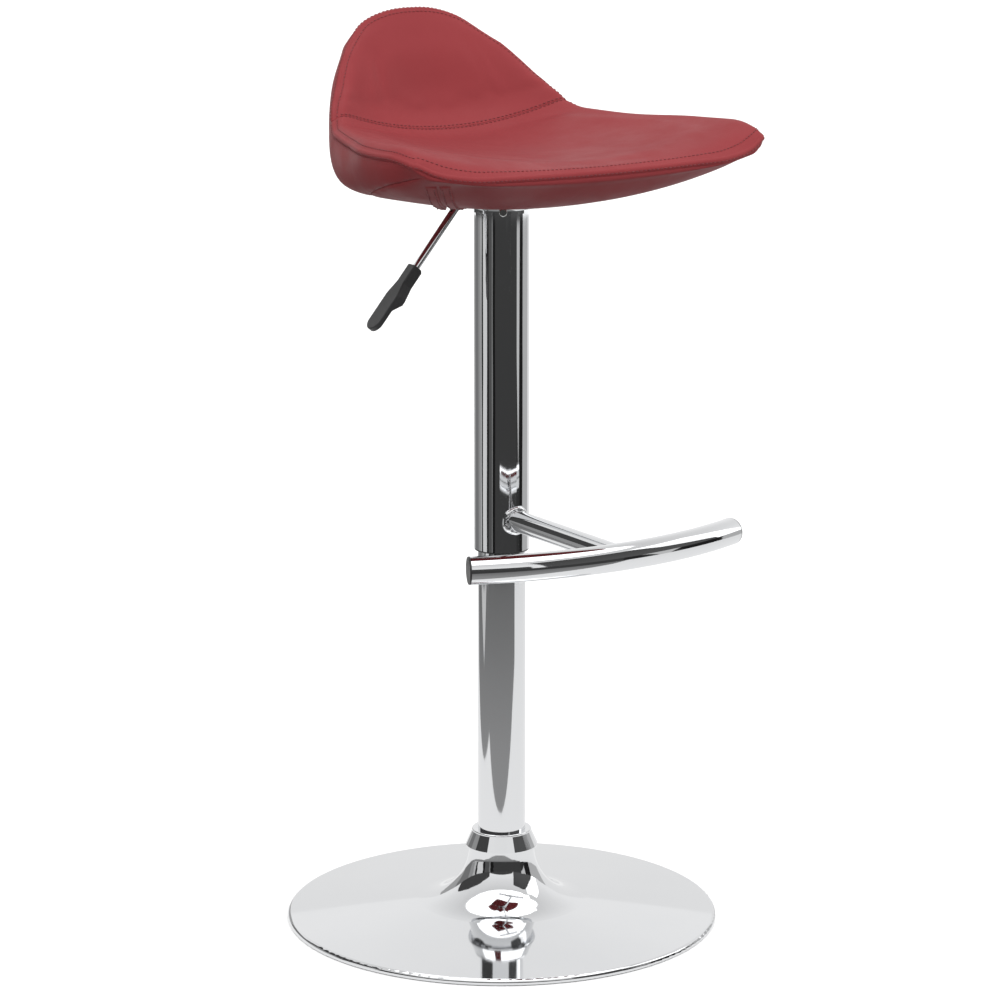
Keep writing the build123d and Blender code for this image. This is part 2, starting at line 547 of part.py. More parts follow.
# Share of the front reach, then of the half width, of the dish and of the depth,
# the underside's shoulder as a share of the width and of the depth, and the centre line's share of the dish
PAN_SHAPE = [
    (1.00, 0.653, 0.15, 0.32, 0.855, 0.46, 0.166),
    (0.96, 0.808, 0.28, 0.38, 0.855, 0.22, 0.210),
    (0.88, 0.938, 0.645, 0.66, 0.885, 0.12, 0.125),
    (0.66, 0.952, 0.96, 0.80, 0.915, 0.36, 0.010),
    (0.36, 0.918, 0.965, 0.935, 0.905, 0.48, -0.030),
    (0.00, 0.806, 0.885, 0.955, 0.948, 0.675, -0.030),
]
# Share of the turn, then as above
BEND_SHAPE = [
    (0.00, 0.698, 0.86, 1.00, 0.968, 0.74, 0.060),
    (0.38, 0.627, 0.80, 1.205, 0.924, 0.60, 0.200),
    (0.62, 0.594, 0.98, 1.325, 0.832, 0.522, 0.100),
    (0.82, 0.561, 0.98, 1.048, 0.851, 0.456, 0.045),
    (1.00, 0.527, 0.81, 0.775, 0.892, 0.486, 0.027),
]
# Share of the straight rise, then as above
RISE_SHAPE = [
    (0.23, 0.481, 0.51, 0.632, 0.918, 0.62, 0.020),
    (0.46, 0.428, 0.27, 0.575, 0.935, 0.655, -0.020),
    (0.68, 0.350, 0.12, 0.52, 0.945, 0.68, -0.060),
    (0.85, 0.290, 0.02, 0.385, 0.93, 0.645, -0.130),
    (0.95, 0.215, 0.02, 0.245, 0.90, 0.60, -0.110),
    (1.00, 0.085, 0.02, 0.16, 0.90, 0.60, 0.050),
]
SIDE_BULGE = 0.14

bend_turn = 90.0 - BACK_LEAN
bend_centre_z = PAN_HEIGHT + BACK_BEND


def bend_plane(turn, rise=0.0):
    """Section plane turn degrees round the bend, then rise along the straight back."""
    angle = radians(turn)
    x = -BACK_BEND_START - BACK_BEND * sin(angle) - rise * cos(angle)
    z = bend_centre_z - BACK_BEND * cos(angle) + rise * sin(angle)
    return Plane((x, 0, z), x_dir=(0, 1, 0), z_dir=(cos(angle), 0, -sin(angle)))


def seat_station(plane, width, lift, depth, shoulder, drop, middle):
    half = width * SEAT_HALF_WIDTH
    deep = depth * SEAT_DEPTH
    centre = plane.from_local_coords((0, middle * DISH_LIFT, 0))
    moved = Plane(centre, x_dir=plane.x_dir, z_dir=plane.z_dir)
    return Station(moved, half, lift * DISH_LIFT, deep, shoulder * half, drop * deep)


stations = [seat_station(Plane((run * SEAT_FRONT, 0, PAN_HEIGHT), x_dir=(0, 1, 0), z_dir=(1, 0, 0)), *rest)
            for run, *rest in PAN_SHAPE]
stations += [seat_station(bend_plane(turn * bend_turn), *rest) for turn, *rest in BEND_SHAPE]
stations += [seat_station(bend_plane(bend_turn, rise * BACK_RISE), *rest) for rise, *rest in RISE_SHAPE]


def pad_depth(station):
    """Thickness of the pad on the centre line and at its edge, thinner where the seat is thin."""
    return min(PAD_THICKNESS, 0.4 * station.depth), min(PAD_EDGE, 0.3 * station.depth)


def arc_band(plane, half, top_edge, top_middle, low_half, low_edge, low_middle, bulge=0.0):
    """Closed section: dished top, straight or bulging sides, curved underside."""
    def place(u, v):
        return plane.from_local_coords((u, v, 0))

    def side(sign):
        upper = place(sign * half, top_edge)
        lower = place(sign * low_half, low_edge)
        if not bulge:
            return Edge.make_line(upper, lower)
        run = half - low_half
        fall = top_edge - low_edge
        middle = place(sign * (half - run / 2 + bulge * fall), (top_edge + low_edge) / 2 - bulge * run)
        return Edge.make_three_point_arc(upper, middle, lower)

    top = Edge.make_three_point_arc(place(-half, top_edge), place(0, top_middle), place(half, top_edge))
    low = Edge.make_three_point_arc(place(low_half, low_edge), place(0, low_middle),
                                    place(-low_half, low_edge))
    return Wire([top, side(1), low, side(-1)])


def pad_section(station):
    middle, edge = pad_depth(station)
    return arc_band(station.plane, station.width, station.lift, 0,
                    station.width, station.lift - edge, -middle)


def lower_section(station):
    middle, edge = pad_depth(station)
    return arc_band(station.plane, station.width, station.lift - edge - COVER_GAP, -middle - COVER_GAP,
                    station.shoulder, -station.drop, -station.depth, SIDE_BULGE)


def hollow_section(station):
    half = station.width - BAND_WALL
    low_half = min(station.shoulder - COVER_WALL, half)
    return arc_band(station.plane, half, station.lift, 0,
                    low_half, -station.drop + COVER_WALL, -station.depth + COVER_WALL)


def ply_section(station):
    middle, edge = pad_depth(station)
    top_edge = station.lift - edge - PLY_GAP
    top_middle = -middle - PLY_GAP
    return arc_band(station.plane, station.width, top_edge, top_middle,
                    station.width, top_edge - PLY_THICKNESS, top_middle - PLY_THICKNESS)


def ply_outline(station):
    half = station.width - PLY_INSET
    return arc_band(station.plane, half, station.lift, 0,
                    half, -station.depth, -station.depth - PLY_THICKNESS)


pads = Solid.make_loft([pad_section(station) for station in stations])
lower = Solid.make_loft([lower_section(station) for station in stations])
inner_stations = stations[1:-4]
hollow = Solid.make_loft([hollow_section(station) for station in inner_stations])
ply = Part() + Solid.make_loft([ply_section(station) for station in stations])
ply &= Solid.make_loft([ply_outline(station) for station in inner_stations])

# Cross seam: the pads meet at a sewn gap part of the way round the bend
big = 4 * SEAT_HALF_WIDTH
seam_plane = bend_plane(SEAM_TURN)


def half_space(plane, start):
    """Large block on one side of a plane, from a distance along its normal."""
    return plane * Pos(0, 0, start) * Box(big, big, big, align=(Align.CENTER, Align.CENTER, Align.MIN))


ply &= half_space(bend_plane(bend_turn, PLY_RISE), 0)
ply &= half_space(Plane((SEAT_FRONT - PLY_FRONT_INSET, 0, PAN_HEIGHT), z_dir=(-1, 0, 0)), 0)
nodes["seat_pad"] = Part() + pads & half_space(seam_plane, SEAM_GAP / 2)
back_side = Plane(seam_plane.origin, x_dir=(0, 1, 0), z_dir=-seam_plane.z_dir)
nodes["back_pad"] = Part() + pads & half_space(back_side, SEAM_GAP / 2)

# Lower cover: a hollow pan below, and the padded band round the back and sides
band_x, band_z = BAND_FRONT
tilt = radians(BAND_SLOPE)
band_plane = Plane((band_x, 0, band_z), x_dir=(0, 1, 0), z_dir=(-sin(tilt), 0, cos(tilt)))
pan_plane = Plane((band_x, 0, band_z), x_dir=(0, 1, 0), z_dir=(sin(tilt), 0, -cos(tilt)))
nodes["outer_band"] = (Part() + lower & half_space(band_plane, SEAM_GAP / 2)) - hollow
under = (Part() + lower & half_space(pan_plane, SEAM_GAP / 2)) - hollow
under -= disc(FLANGE_RADIUS + COLUMN_HOLE_GAP, SLEEVE_TOP - SEAT_DEPTH, plate_bottom)
slit = RectangleRounded(2 * SLIT_HALF_WIDTH, SLIT_OUTER - SLIT_INNER, SLIT_CORNER)
under -= extrude(Pos(0, -(SLIT_INNER + SLIT_OUTER) / 2, SLEEVE_TOP - SEAT_DEPTH) * slit, 2 * SEAT_DEPTH)
nodes["under_cover"] = under

# Seat shell: moulded plywood, drilled for the tee nuts and the bolts
nut_seat = PAN_HEIGHT - PAD_THICKNESS - PLY_GAP
nut_sink = TEE_NUT_FLANGE + LOOSE
shell = ply
shell -= at_bolts(disc(TEE_NUT_BARREL + SEATED, plate_top, PAN_HEIGHT))
shell -= at_bolts(disc(TEE_NUT_RADIUS + SEATED, nut_seat - nut_sink, PAN_HEIGHT))
nodes["seat_shell"] = shell
tee_nut = disc(TEE_NUT_BARREL, ply_bottom, nut_seat - LOOSE, bolt_radius + SEATED)
tee_nut += disc(TEE_NUT_RADIUS, nut_seat - nut_sink, nut_seat - LOOSE, bolt_radius + SEATED)
nodes["tee_nuts"] = at_bolts(tee_nut)

# Plate spacers: shaped pads that bed the flat plate on the dished plywood
spacer = disc(SPACER_RADIUS, plate_top, ply_bottom + PLY_THICKNESS / 2, TEE_NUT_BARREL + SEATED)
nodes["plate_spacers"] = Compound(children=[Pos(x, y, 0) * spacer - ply for x, y in bolt_places])

# Seat bolts
bolt = disc(bolt_radius, washer_bottom, nut_seat - LOOSE)
bolt_head = disc(BOLT_HEAD_RADIUS, washer_bottom - BOLT_HEAD_HEIGHT, washer_bottom)
bolt += fillet(bolt_head.edges().sort_by(Axis.Z)[:1], BOLT_HEAD_HEIGHT / 3)
nodes["seat_bolts"] = at_bolts(bolt)

os.makedirs("parts", exist_ok=True)
for name, shape in nodes.items():
    export_step(shape, f"parts/{name}.step")
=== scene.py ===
import math

import bmesh
import bpy
import numpy as np
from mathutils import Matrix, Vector
from mathutils.bvhtree import BVHTree


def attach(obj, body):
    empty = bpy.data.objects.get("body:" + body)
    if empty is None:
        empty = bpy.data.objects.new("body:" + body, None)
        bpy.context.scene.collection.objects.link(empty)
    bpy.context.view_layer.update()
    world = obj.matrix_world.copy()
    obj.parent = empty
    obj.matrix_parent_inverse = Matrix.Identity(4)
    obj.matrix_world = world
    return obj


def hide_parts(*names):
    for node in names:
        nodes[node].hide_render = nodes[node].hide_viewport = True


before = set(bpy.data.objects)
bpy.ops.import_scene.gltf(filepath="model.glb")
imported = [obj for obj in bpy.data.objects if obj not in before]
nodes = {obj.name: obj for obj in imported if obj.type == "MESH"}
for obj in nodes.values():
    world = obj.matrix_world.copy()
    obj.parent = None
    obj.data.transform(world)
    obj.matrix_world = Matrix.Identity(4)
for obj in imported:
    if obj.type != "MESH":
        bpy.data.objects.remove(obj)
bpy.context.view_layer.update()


# Base shell: the wide foot of the stool, spun from sheet steel into a shallow disc whose
# hollow flare rises to the neck, then polished and chrome plated. It stands over the weight.
def new_group(name, inputs, outputs):
    """Empty shader group with the named sockets; also returns its input and output nodes."""
    group = bpy.data.node_groups.new(name, "ShaderNodeTree")
    for socket, kind, value in inputs:
        made = group.interface.new_socket(socket, in_out="INPUT", socket_type=kind)
        made.default_value = value
    for socket, kind in outputs:
        group.interface.new_socket(socket, in_out="OUTPUT", socket_type=kind)
    return group, group.nodes.new("NodeGroupInput"), group.nodes.new("NodeGroupOutput")


def smudge_group():
    """Roughness that drifts between two values, as handled plating and plastic do."""
    group, given, result = new_group(
        "smudges",
        [("Scale", "NodeSocketFloat", 20.0), ("Clean", "NodeSocketFloat", 0.04),
         ("Dull", "NodeSocketFloat", 0.10)],
        [("Roughness", "NodeSocketFloat")])
    place = group.nodes.new("ShaderNodeTexCoord")
    cloud = group.nodes.new("ShaderNodeTexNoise")
    cloud.inputs["Detail"].default_value = 6.0
    cloud.inputs["Roughness"].default_value = 0.62
    spread = group.nodes.new("ShaderNodeMapRange")
    spread.inputs["From Min"].default_value = 0.38
    spread.inputs["From Max"].default_value = 0.72
    wire = group.links.new
    wire(place.outputs["Object"], cloud.inputs["Vector"])
    wire(given.outputs["Scale"], cloud.inputs["Scale"])
    wire(cloud.outputs["Fac"], spread.inputs["Value"])
    wire(given.outputs["Clean"], spread.inputs["To Min"])
    wire(given.outputs["Dull"], spread.inputs["To Max"])
    wire(spread.outputs["Result"], result.inputs["Roughness"])
    return group


def mottle_group():
    """Two close colours in soft patches."""
    group, given, result = new_group(
        "mottle",
        [("Light", "NodeSocketColor", (0.8, 0.8, 0.8, 1)), ("Dark", "NodeSocketColor", (0.7, 0.7, 0.7, 1)),
         ("Scale", "NodeSocketFloat", 20.0)],
        [("Color", "NodeSocketColor")])
    place = group.nodes.new("ShaderNodeTexCoord")
    cloud = group.nodes.new("ShaderNodeTexNoise")
    cloud.inputs["Detail"].default_value = 4.0
    blend = group.nodes.new("ShaderNodeMix")
    blend.data_type = "RGBA"
    wire = group.links.new
    wire(place.outputs["Object"], cloud.inputs["Vector"])
    wire(given.outputs["Scale"], cloud.inputs["Scale"])
    wire(cloud.outputs["Fac"], blend.inputs["Factor"])
    wire(given.outputs["Light"], blend.inputs["A"])
    wire(given.outputs["Dark"], blend.inputs["B"])
    wire(blend.outputs["Result"], result.inputs["Color"])
    return group


smudges = smudge_group()
mottle = mottle_group()


def new_finish(name, metallic=0.0):
    """Material with one Principled shader; returns it, its tree and the shader."""
    finish = bpy.data.materials.new(name)
    finish.use_nodes = True
    tree = finish.node_tree
    shader = tree.nodes["Principled BSDF"]
    shader.inputs["Metallic"].default_value = metallic
    return finish, tree, shader


def add_effect(tree, group, **values):
    """Group node in a material, with its own values."""
    node = tree.nodes.new("ShaderNodeGroup")
    node.node_tree = group
    for socket, value in values.items():
        node.inputs[socket].default_value = value
    return node


def add_colour(tree, shader, light, dark, scale):
    """Base colour in patches of two close shades."""
    patches = add_effect(tree, mottle, Light=(*light, 1), Dark=(*dark, 1), Scale=scale)
    tree.links.new(patches.outputs["Color"], shader.inputs["Base Color"])


def add_smudges(tree, shader, clean, dull, scale):
    """Roughness that drifts from clean to dull."""
    marks = add_effect(tree, smudges, Scale=scale, Clean=clean, Dull=dull)
    tree.links.new(marks.outputs["Roughness"], shader.inputs["Roughness"])


def cover(finish, *names):
    """Gives CAD pieces a finish."""
    for name in names:
        mesh = nodes[name].data
        mesh.materials.clear()
        mesh.materials.append(finish)


chrome, tree, shader = new_finish("bright_chrome", metallic=1.0)
add_colour(tree, shader, (0.80, 0.805, 0.815), (0.75, 0.76, 0.775), 9.0)
add_smudges(tree, shader, 0.035, 0.075, 14.0)
cover(chrome, "base_shell")


# Floor ring: a soft moulded strip pressed over the rolled edge of the base, so that the
# plated edge does not touch the floor. Black plastic with a fine spark-eroded grain.
def grain_group():
    """Height of a fine pebbled grain."""
    group, given, result = new_group(
        "pebble_grain",
        [("Scale", "NodeSocketFloat", 900.0), ("Softness", "NodeSocketFloat", 0.5)],
        [("Height", "NodeSocketFloat")])
    place = group.nodes.new("ShaderNodeTexCoord")
    pebble = group.nodes.new("ShaderNodeTexVoronoi")
    pebble.feature = "SMOOTH_F1"
    cloud = group.nodes.new("ShaderNodeTexNoise")
    cloud.inputs["Detail"].default_value = 3.0
    join = group.nodes.new("ShaderNodeMix")
    wire = group.links.new
    wire(place.outputs["Object"], pebble.inputs["Vector"])
    wire(place.outputs["Object"], cloud.inputs["Vector"])
    wire(given.outputs["Scale"], pebble.inputs["Scale"])
    wire(given.outputs["Scale"], cloud.inputs["Scale"])
    wire(given.outputs["Softness"], join.inputs["Factor"])
    wire(pebble.outputs["Distance"], join.inputs["A"])
    wire(cloud.outputs["Fac"], join.inputs["B"])
    wire(join.outputs["Result"], result.inputs["Height"])
    return group


pebble_grain = grain_group()


def add_grain(tree, shader, scale, depth, softness=0.5, strength=0.3):
    """Fine surface relief, depth in metres."""
    grain = add_effect(tree, pebble_grain, Scale=scale, Softness=softness)
    bump = tree.nodes.new("ShaderNodeBump")
    bump.inputs["Distance"].default_value = depth
    bump.inputs["Strength"].default_value = strength
    tree.links.new(grain.outputs["Height"], bump.inputs["Height"])
    tree.links.new(bump.outputs["Normal"], shader.inputs["Normal"])


black_plastic, tree, shader = new_finish("moulded_black_plastic")
add_colour(tree, shader, (0.030, 0.030, 0.031), (0.022, 0.022, 0.023), 40.0)
add_smudges(tree, shader, 0.34, 0.48, 30.0)
add_grain(tree, shader, 1500.0, 0.00025)
cover(black_plastic, "floor_ring")

# Base weight and column foot: a cut steel ring and a turned hub, bolted together under the
# shell. Bare steel, lightly oiled; the screws are zinc plated.
bare_steel, tree, shader = new_finish("bare_steel", metallic=1.0)
add_colour(tree, shader, (0.46, 0.45, 0.44), (0.36, 0.35, 0.335), 35.0)
add_smudges(tree, shader, 0.30, 0.48, 60.0)
add_grain(tree, shader, 700.0, 0.0002, softness=0.8)
cover(bare_steel, "base_weight", "column_foot")
zinc, tree, shader = new_finish("zinc_plate", metallic=1.0)
add_colour(tree, shader, (0.66, 0.66, 0.64), (0.55, 0.555, 0.55), 160.0)
add_smudges(tree, shader, 0.20, 0.36, 120.0)
cover(zinc, "foot_screws")

# Column tube and collar: the tube stands in the foot and the faceted collar covers the joint
# at the neck. Both are chrome plated; the tube's top carries a black plastic bush.
cover(chrome, "column_tube", "base_collar")
cover(black_plastic, "tube_bush")

# Thrust bearing: hardened balls in a plastic cage between two ground races, which let the
# rod and the seat above it turn on the foot.
polished, tree, shader = new_finish("ground_steel", metallic=1.0)
add_colour(tree, shader, (0.62, 0.62, 0.63), (0.56, 0.56, 0.57), 50.0)
add_smudges(tree, shader, 0.10, 0.20, 90.0)
cover(polished, "lower_race", "upper_race", "bearing_balls")
cover(black_plastic, "ball_cage")

# Gas lift: the ground rod stands on the bearing, and the painted cylinder slides on it with
# the seat. A rubber stop cushions the lowest position; the valve pin stands out of the top.
rubber, tree, shader = new_finish("black_rubber")
add_colour(tree, shader, (0.026, 0.026, 0.026), (0.018, 0.018, 0.018), 60.0)
add_smudges(tree, shader, 0.62, 0.80, 50.0)
add_grain(tree, shader, 1100.0, 0.0003)
black_paint, tree, shader = new_finish("black_paint")
add_colour(tree, shader, (0.024, 0.024, 0.025), (0.017, 0.017, 0.018), 30.0)
add_smudges(tree, shader, 0.26, 0.40, 25.0)
add_grain(tree, shader, 420.0, 0.0002, softness=1.0, strength=0.2)
cover(polished, "piston_rod", "piston", "valve_pin")
cover(zinc, "rod_clip")
cover(rubber, "bump_stop")
cover(black_paint, "gas_cylinder")
cover(bare_steel, "cylinder_gland")

# Sleeve and flange: the sleeve is the plated tube that hides the cylinder and slides over the
# column. The plated flange closes its top, held by zinc screws in a steel insert.
cover(chrome, "sleeve_tube", "sleeve_flange")
cover(black_plastic, "sleeve_bush")
cover(bare_steel, "sleeve_insert")
cover(zinc, "flange_screws")

# Footrest: a bent plated bar on a short stem that is welded to the sleeve. The open ends of
# the bar are closed by black plastic plugs.
cover(chrome, "footrest_stem", "footrest_bar")
cover(black_plastic, "footrest_caps")


def show(name, mesh, finish):
    """Object of a finished mesh, smooth shaded."""
    bmesh.ops.recalc_face_normals(mesh, faces=mesh.faces)
    data = bpy.data.meshes.new(name)
    mesh.to_mesh(data)
    mesh.free()
    piece = bpy.data.objects.new(name, data)
    bpy.context.scene.collection.objects.link(piece)
    data.materials.append(finish)
    for face in data.polygons:
        face.use_smooth = True
    return piece


def bead(name, path, away, thick, ripples):
    """Closed weld bead along a path, heaped in overlapping drops as a hand-held torch lays it."""
    mesh = bmesh.new()
    count, sides = len(path), 12
    along = np.roll(path, -1, 0) - np.roll(path, 1, 0)
    along /= np.linalg.norm(along, axis=1)[:, None]
    across = np.cross(along, away)
    across /= np.linalg.norm(across, axis=1)[:, None]
    up = np.cross(across, along)
    turn = np.linspace(0, 2 * math.pi, count, endpoint=False)
    drops = 0.07 * np.abs(np.sin(turn * ripples / 2))
    heap = thick * (1 + drops + 0.16 * np.sin(turn * 2 + 0.6) + 0.10 * np.sin(turn * 5 + 1.9))
    corners = np.linspace(0, 2 * math.pi, sides, endpoint=False)
    rings = [[mesh.verts.new(path[k] + heap[k] * (math.cos(a) * up[k] * 0.8 + math.sin(a) * across[k]))
              for a in corners] for k in range(count)]
    for k in range(count):
        one, two = rings[k], rings[(k + 1) % count]
        for s in range(sides):
            t = (s + 1) % sides
            mesh.faces.new((one[s], one[t], two[t], two[s]))
    piece = show(name, mesh, chrome)
    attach(piece, "seat")


STEM_HEIGHT, STEM_RADIUS, SLEEVE_RADIUS = 0.387, 0.010, 0.0255
BEAD_CLEAR = 0.0012         # middle of the bead outside the stem
BEAD_PROUD = 0.0004         # and outside the sleeve
BEAD_THICKNESS = 0.0028
BEAD_DROPS = 14             # along the bead
turn = np.linspace(0, 2 * math.pi, 120, endpoint=False)
around = STEM_RADIUS + BEAD_CLEAR
side, rise = around * np.cos(turn), around * np.sin(turn)
root = np.stack([np.sqrt(SLEEVE_RADIUS ** 2 - side ** 2) + BEAD_PROUD, side, STEM_HEIGHT + rise], -1)
bead("stem_weld", root, np.stack([0 * turn + 0.7, np.cos(turn), np.sin(turn)], -1),
     BEAD_THICKNESS, BEAD_DROPS)

# Seat mounting: a pressed socket on the cylinder's taper, and a ribbed plate bolted up through
# rubber spacers into tee nuts. Black paint and zinc plate.
cover(black_paint, "mount_socket", "mount_plate", "lever_bracket")
cover(rubber, "plate_spacers")
cover(zinc, "seat_bolts", "bolt_washers", "tee_nuts", "lever_pin")

# Height lever: a plated rod bent down from its bracket, with a black plastic paddle pushed on
# its outer end.
cover(chrome, "lever_rod")
cover(black_plastic, "lever_handle")

# Seat shell: moulded birch plywood inside the upholstery, with pale faces and visible plies.
plywood, tree, shader = new_finish("birch_plywood")
add_colour(tree, shader, (0.62, 0.43, 0.25), (0.48, 0.30, 0.15), 45.0)
add_smudges(tree, shader, 0.50, 0.66, 40.0)
add_grain(tree, shader, 500.0, 0.0002, softness=1.0)
cover(plywood, "seat_shell")


# Upholstery: foam pads on the plywood, covered in burgundy vinyl with a fine leather grain.
# Sections stand across a line from the front edge, back along the pan, round the bend and up the back.
SEAT_FRONT = 0.1665
PAN_HEIGHT = 0.7255
BEND_START = 0.2265
BEND_RADIUS = 0.070
BEND_TURN = math.radians(73)
# Distance along the line, half width, rim lift, depth, shoulder half width, shoulder drop, centre rise
SECTIONS = np.array([
    (0.0000, 0.1293, 0.0042, 0.0144, 0.1105, 0.0066, 0.0056),
    (0.0067, 0.1600, 0.0078, 0.0171, 0.1368, 0.0038, 0.0061),
    (0.0200, 0.1857, 0.0180, 0.0306, 0.1644, 0.0050, 0.0050),
    (0.0566, 0.1885, 0.0260, 0.0382, 0.1725, 0.0152, 0.0020),
    (0.1066, 0.1818, 0.0260, 0.0438, 0.1645, 0.0216, 0.0002),
    (0.1665, 0.1596, 0.0248, 0.0424, 0.1513, 0.0272, -0.0006),
    (0.2265, 0.1400, 0.0241, 0.0430, 0.1338, 0.0302, 0.0017),
    (0.2604, 0.1288, 0.0224, 0.0520, 0.1147, 0.0296, 0.0056),
    (0.2818, 0.1222, 0.0274, 0.0576, 0.0979, 0.0276, 0.0028),
    (0.2996, 0.1152, 0.0274, 0.0466, 0.0945, 0.0205, 0.0013),
    (0.3157, 0.1072, 0.0227, 0.0349, 0.0931, 0.0169, 0.0008),
    (0.3320, 0.0970, 0.0143, 0.0284, 0.0874, 0.0176, 0.0006),
    (0.3483, 0.0850, 0.0076, 0.0259, 0.0792, 0.0169, -0.0006),
    (0.3640, 0.0692, 0.0034, 0.0234, 0.0650, 0.0159, -0.0017),
    (0.3768, 0.0548, 0.0008, 0.0173, 0.0508, 0.0112, -0.0033),
    (0.3826, 0.0432, 0.0006, 0.0130, 0.0392, 0.0080, -0.0036),
    (0.3863, 0.0312, 0.0006, 0.0104, 0.0280, 0.0060, -0.0034),
    (0.3884, 0.0205, 0.0006, 0.0090, 0.0184, 0.0050, -0.0031),
    (0.3894, 0.0090, 0.0006, 0.0082, 0.0080, 0.0045, -0.0030),
])
SEAT_END = SECTIONS[-1, 0]


def eased(known, values, at):
    """Smooth curve through known values that never overshoots them."""
    step = np.diff(known)
    slope = np.diff(values) / step
    lean = np.concatenate([slope[:1], np.zeros(len(known) - 2), slope[-1:]])
    same = slope[:-1] * slope[1:] > 0
    one, two = 2 * step[1:] + step[:-1], step[1:] + 2 * step[:-1]
    before, after = np.where(same, slope[:-1], 1), np.where(same, slope[1:], 1)
    lean[1:-1] = np.where(same, (one + two) / (one / before + two / after), 0)
    i = np.clip(np.searchsorted(known, at) - 1, 0, len(known) - 2)
    t = np.clip((at - known[i]) / step[i], 0, 1)
    return ((1 + 2 * t) * (1 - t) ** 2 * values[i] + t * (1 - t) ** 2 * step[i] * lean[i]
            + t * t * (3 - 2 * t) * values[i + 1] + t * t * (t - 1) * step[i] * lean[i + 1])


def section(run):
    """Half width, rim lift, depth, shoulder half width, shoulder drop and centre rise at a distance."""
    return [eased(SECTIONS[:, 0], SECTIONS[:, k], np.asarray(run, float)) for k in range(1, 7)]


def place(run, across, height):
    """Point at a distance along the line, across the seat and above the line."""
    run, across, height = np.broadcast_arrays(run, across, height)
    turn = np.clip((run - BEND_START) / BEND_RADIUS, 0, BEND_TURN)
    past = np.maximum(run - BEND_START - BEND_RADIUS * BEND_TURN, 0)
    x = SEAT_FRONT - np.minimum(run, BEND_START) - BEND_RADIUS * np.sin(turn) - past * np.cos(turn)
    z = PAN_HEIGHT + BEND_RADIUS * (1 - np.cos(turn)) + past * np.sin(turn)
    return np.stack([x + height * np.sin(turn), across, z + height * np.cos(turn)], -1)


def upward(run):
    """Direction above the line."""
    turn = np.clip((run - BEND_START) / BEND_RADIUS, 0, BEND_TURN)
    return np.stack([np.sin(turn), np.zeros_like(turn), np.cos(turn)], -1)


def dish(lift, half, across):
    """Height of a circular dish that rises by lift at the half width."""
    radius = (half ** 2 + lift ** 2) / (2 * lift)
    return radius - np.sqrt(np.maximum(radius ** 2 - across ** 2, 0))


def edge_depth(depth):
    """Thickness of a pad at its edge."""
    return np.minimum(0.008, 0.3 * depth)


vinyl, tree, shader = new_finish("burgundy_vinyl")
add_colour(tree, shader, (0.250, 0.036, 0.040), (0.218, 0.031, 0.035), 14.0)
add_smudges(tree, shader, 0.50, 0.64, 22.0)
add_grain(tree, shader, 1000.0, 0.00022, softness=0.35, strength=0.3)
shader.inputs["Specular IOR Level"].default_value = 0.10


# Seat and back pads: foam panels joined by the cross seam in the bend. A narrow welt strip is sewn
# round the whole edge, between the panel's own seam and the seam of the cover below.
ROLL = 0.0010               # the panel's seam lies this far inside the outline
WELT, WELT_SHARE = 0.0058, 0.42             # height of the welt strip, and its most as a share of the depth
SEAM_RUN = BEND_START + BEND_RADIUS * math.radians(28)
SEAM_GAP = 0.0002           # each panel's edge to the middle of the cross seam
EDGE_SINK, EDGE_SINK_REACH = 0.0008, 0.0022 # how deep the stitches draw the edge in, and how wide
SEAM_SINK, SEAM_SINK_REACH = 0.0007, 0.0018 # and at the cross seam
DISH = 1.25                 # depth of the panel's dish, as a share of the rim's lift
SIDE_ROLL = 0.42            # share of the rim's lift by which the panel rolls over the side
FRONT_ROLL = 0.0028         # how far it rolls over the middle of the front edge
CORNER_ROLL = 0.0027        # and how much more at the front corners
TOP_ROLL = 0.0050           # how far it rolls over the top of the back
SIDE_ROLL_REACH, END_ROLL_REACH = 0.0058, 0.011     # how far in from the edge each roll begins
ROLL_POWER = 1.3            # how firmly it turns over
FOAM_THICKNESS, FOAM_SHARE = 0.017, 0.4     # foam in the middle, and its most as a share of the depth
BOW_LENGTH = 0.05           # rows within this distance of the front or top follow its curve
# Distances of the first columns from a panel's side, where its half width is the next value
EDGE_COLUMNS, COLUMNS_HALF = np.array([0.0, 0.0012, 0.003, 0.0055, 0.009, 0.014, 0.021]), 0.15
HELD_REACH = 0.018          # how far the seams hold the foam back
# Outward distance and share of the welt's height, down its wall and in under it
WELT_SECTION = ((0.0004, 0.02), (0.0011, 0.10), (0.0018, 0.25), (0.0022, 0.46), (0.0022, 0.68),
                (0.0017, 0.88), (0.0010, 1.0), (-0.0010, 1.08), (-0.0030, 1.08))
WELT_FOOT = 6               # step of that section where the cover is sewn on
# The same down the cross seam, where one panel's edge is tucked against the other's
TUCK_SECTION = ((0.00005, 0.05), (0.0001, 0.12), (0.0001, 0.24), (0.0001, 0.40), (0.0001, 0.58),
                (0.0001, 0.78), (0.0001, 1.0), (0.0001, 1.12), (0.0001, 1.14))


def spread(start, end, step, fine_start, fine_end):
    """Rows from start to end at about one step, with given extra rows near the ends."""
    low, high = start + fine_start[-1], end - fine_end[-1]
    middle = np.linspace(low, high, round((high - low) / step) + 1)
    return np.concatenate([[start], start + np.array(fine_start[:-1]), middle,
                           (end - np.array(fine_end[:-1]))[::-1], [end]])


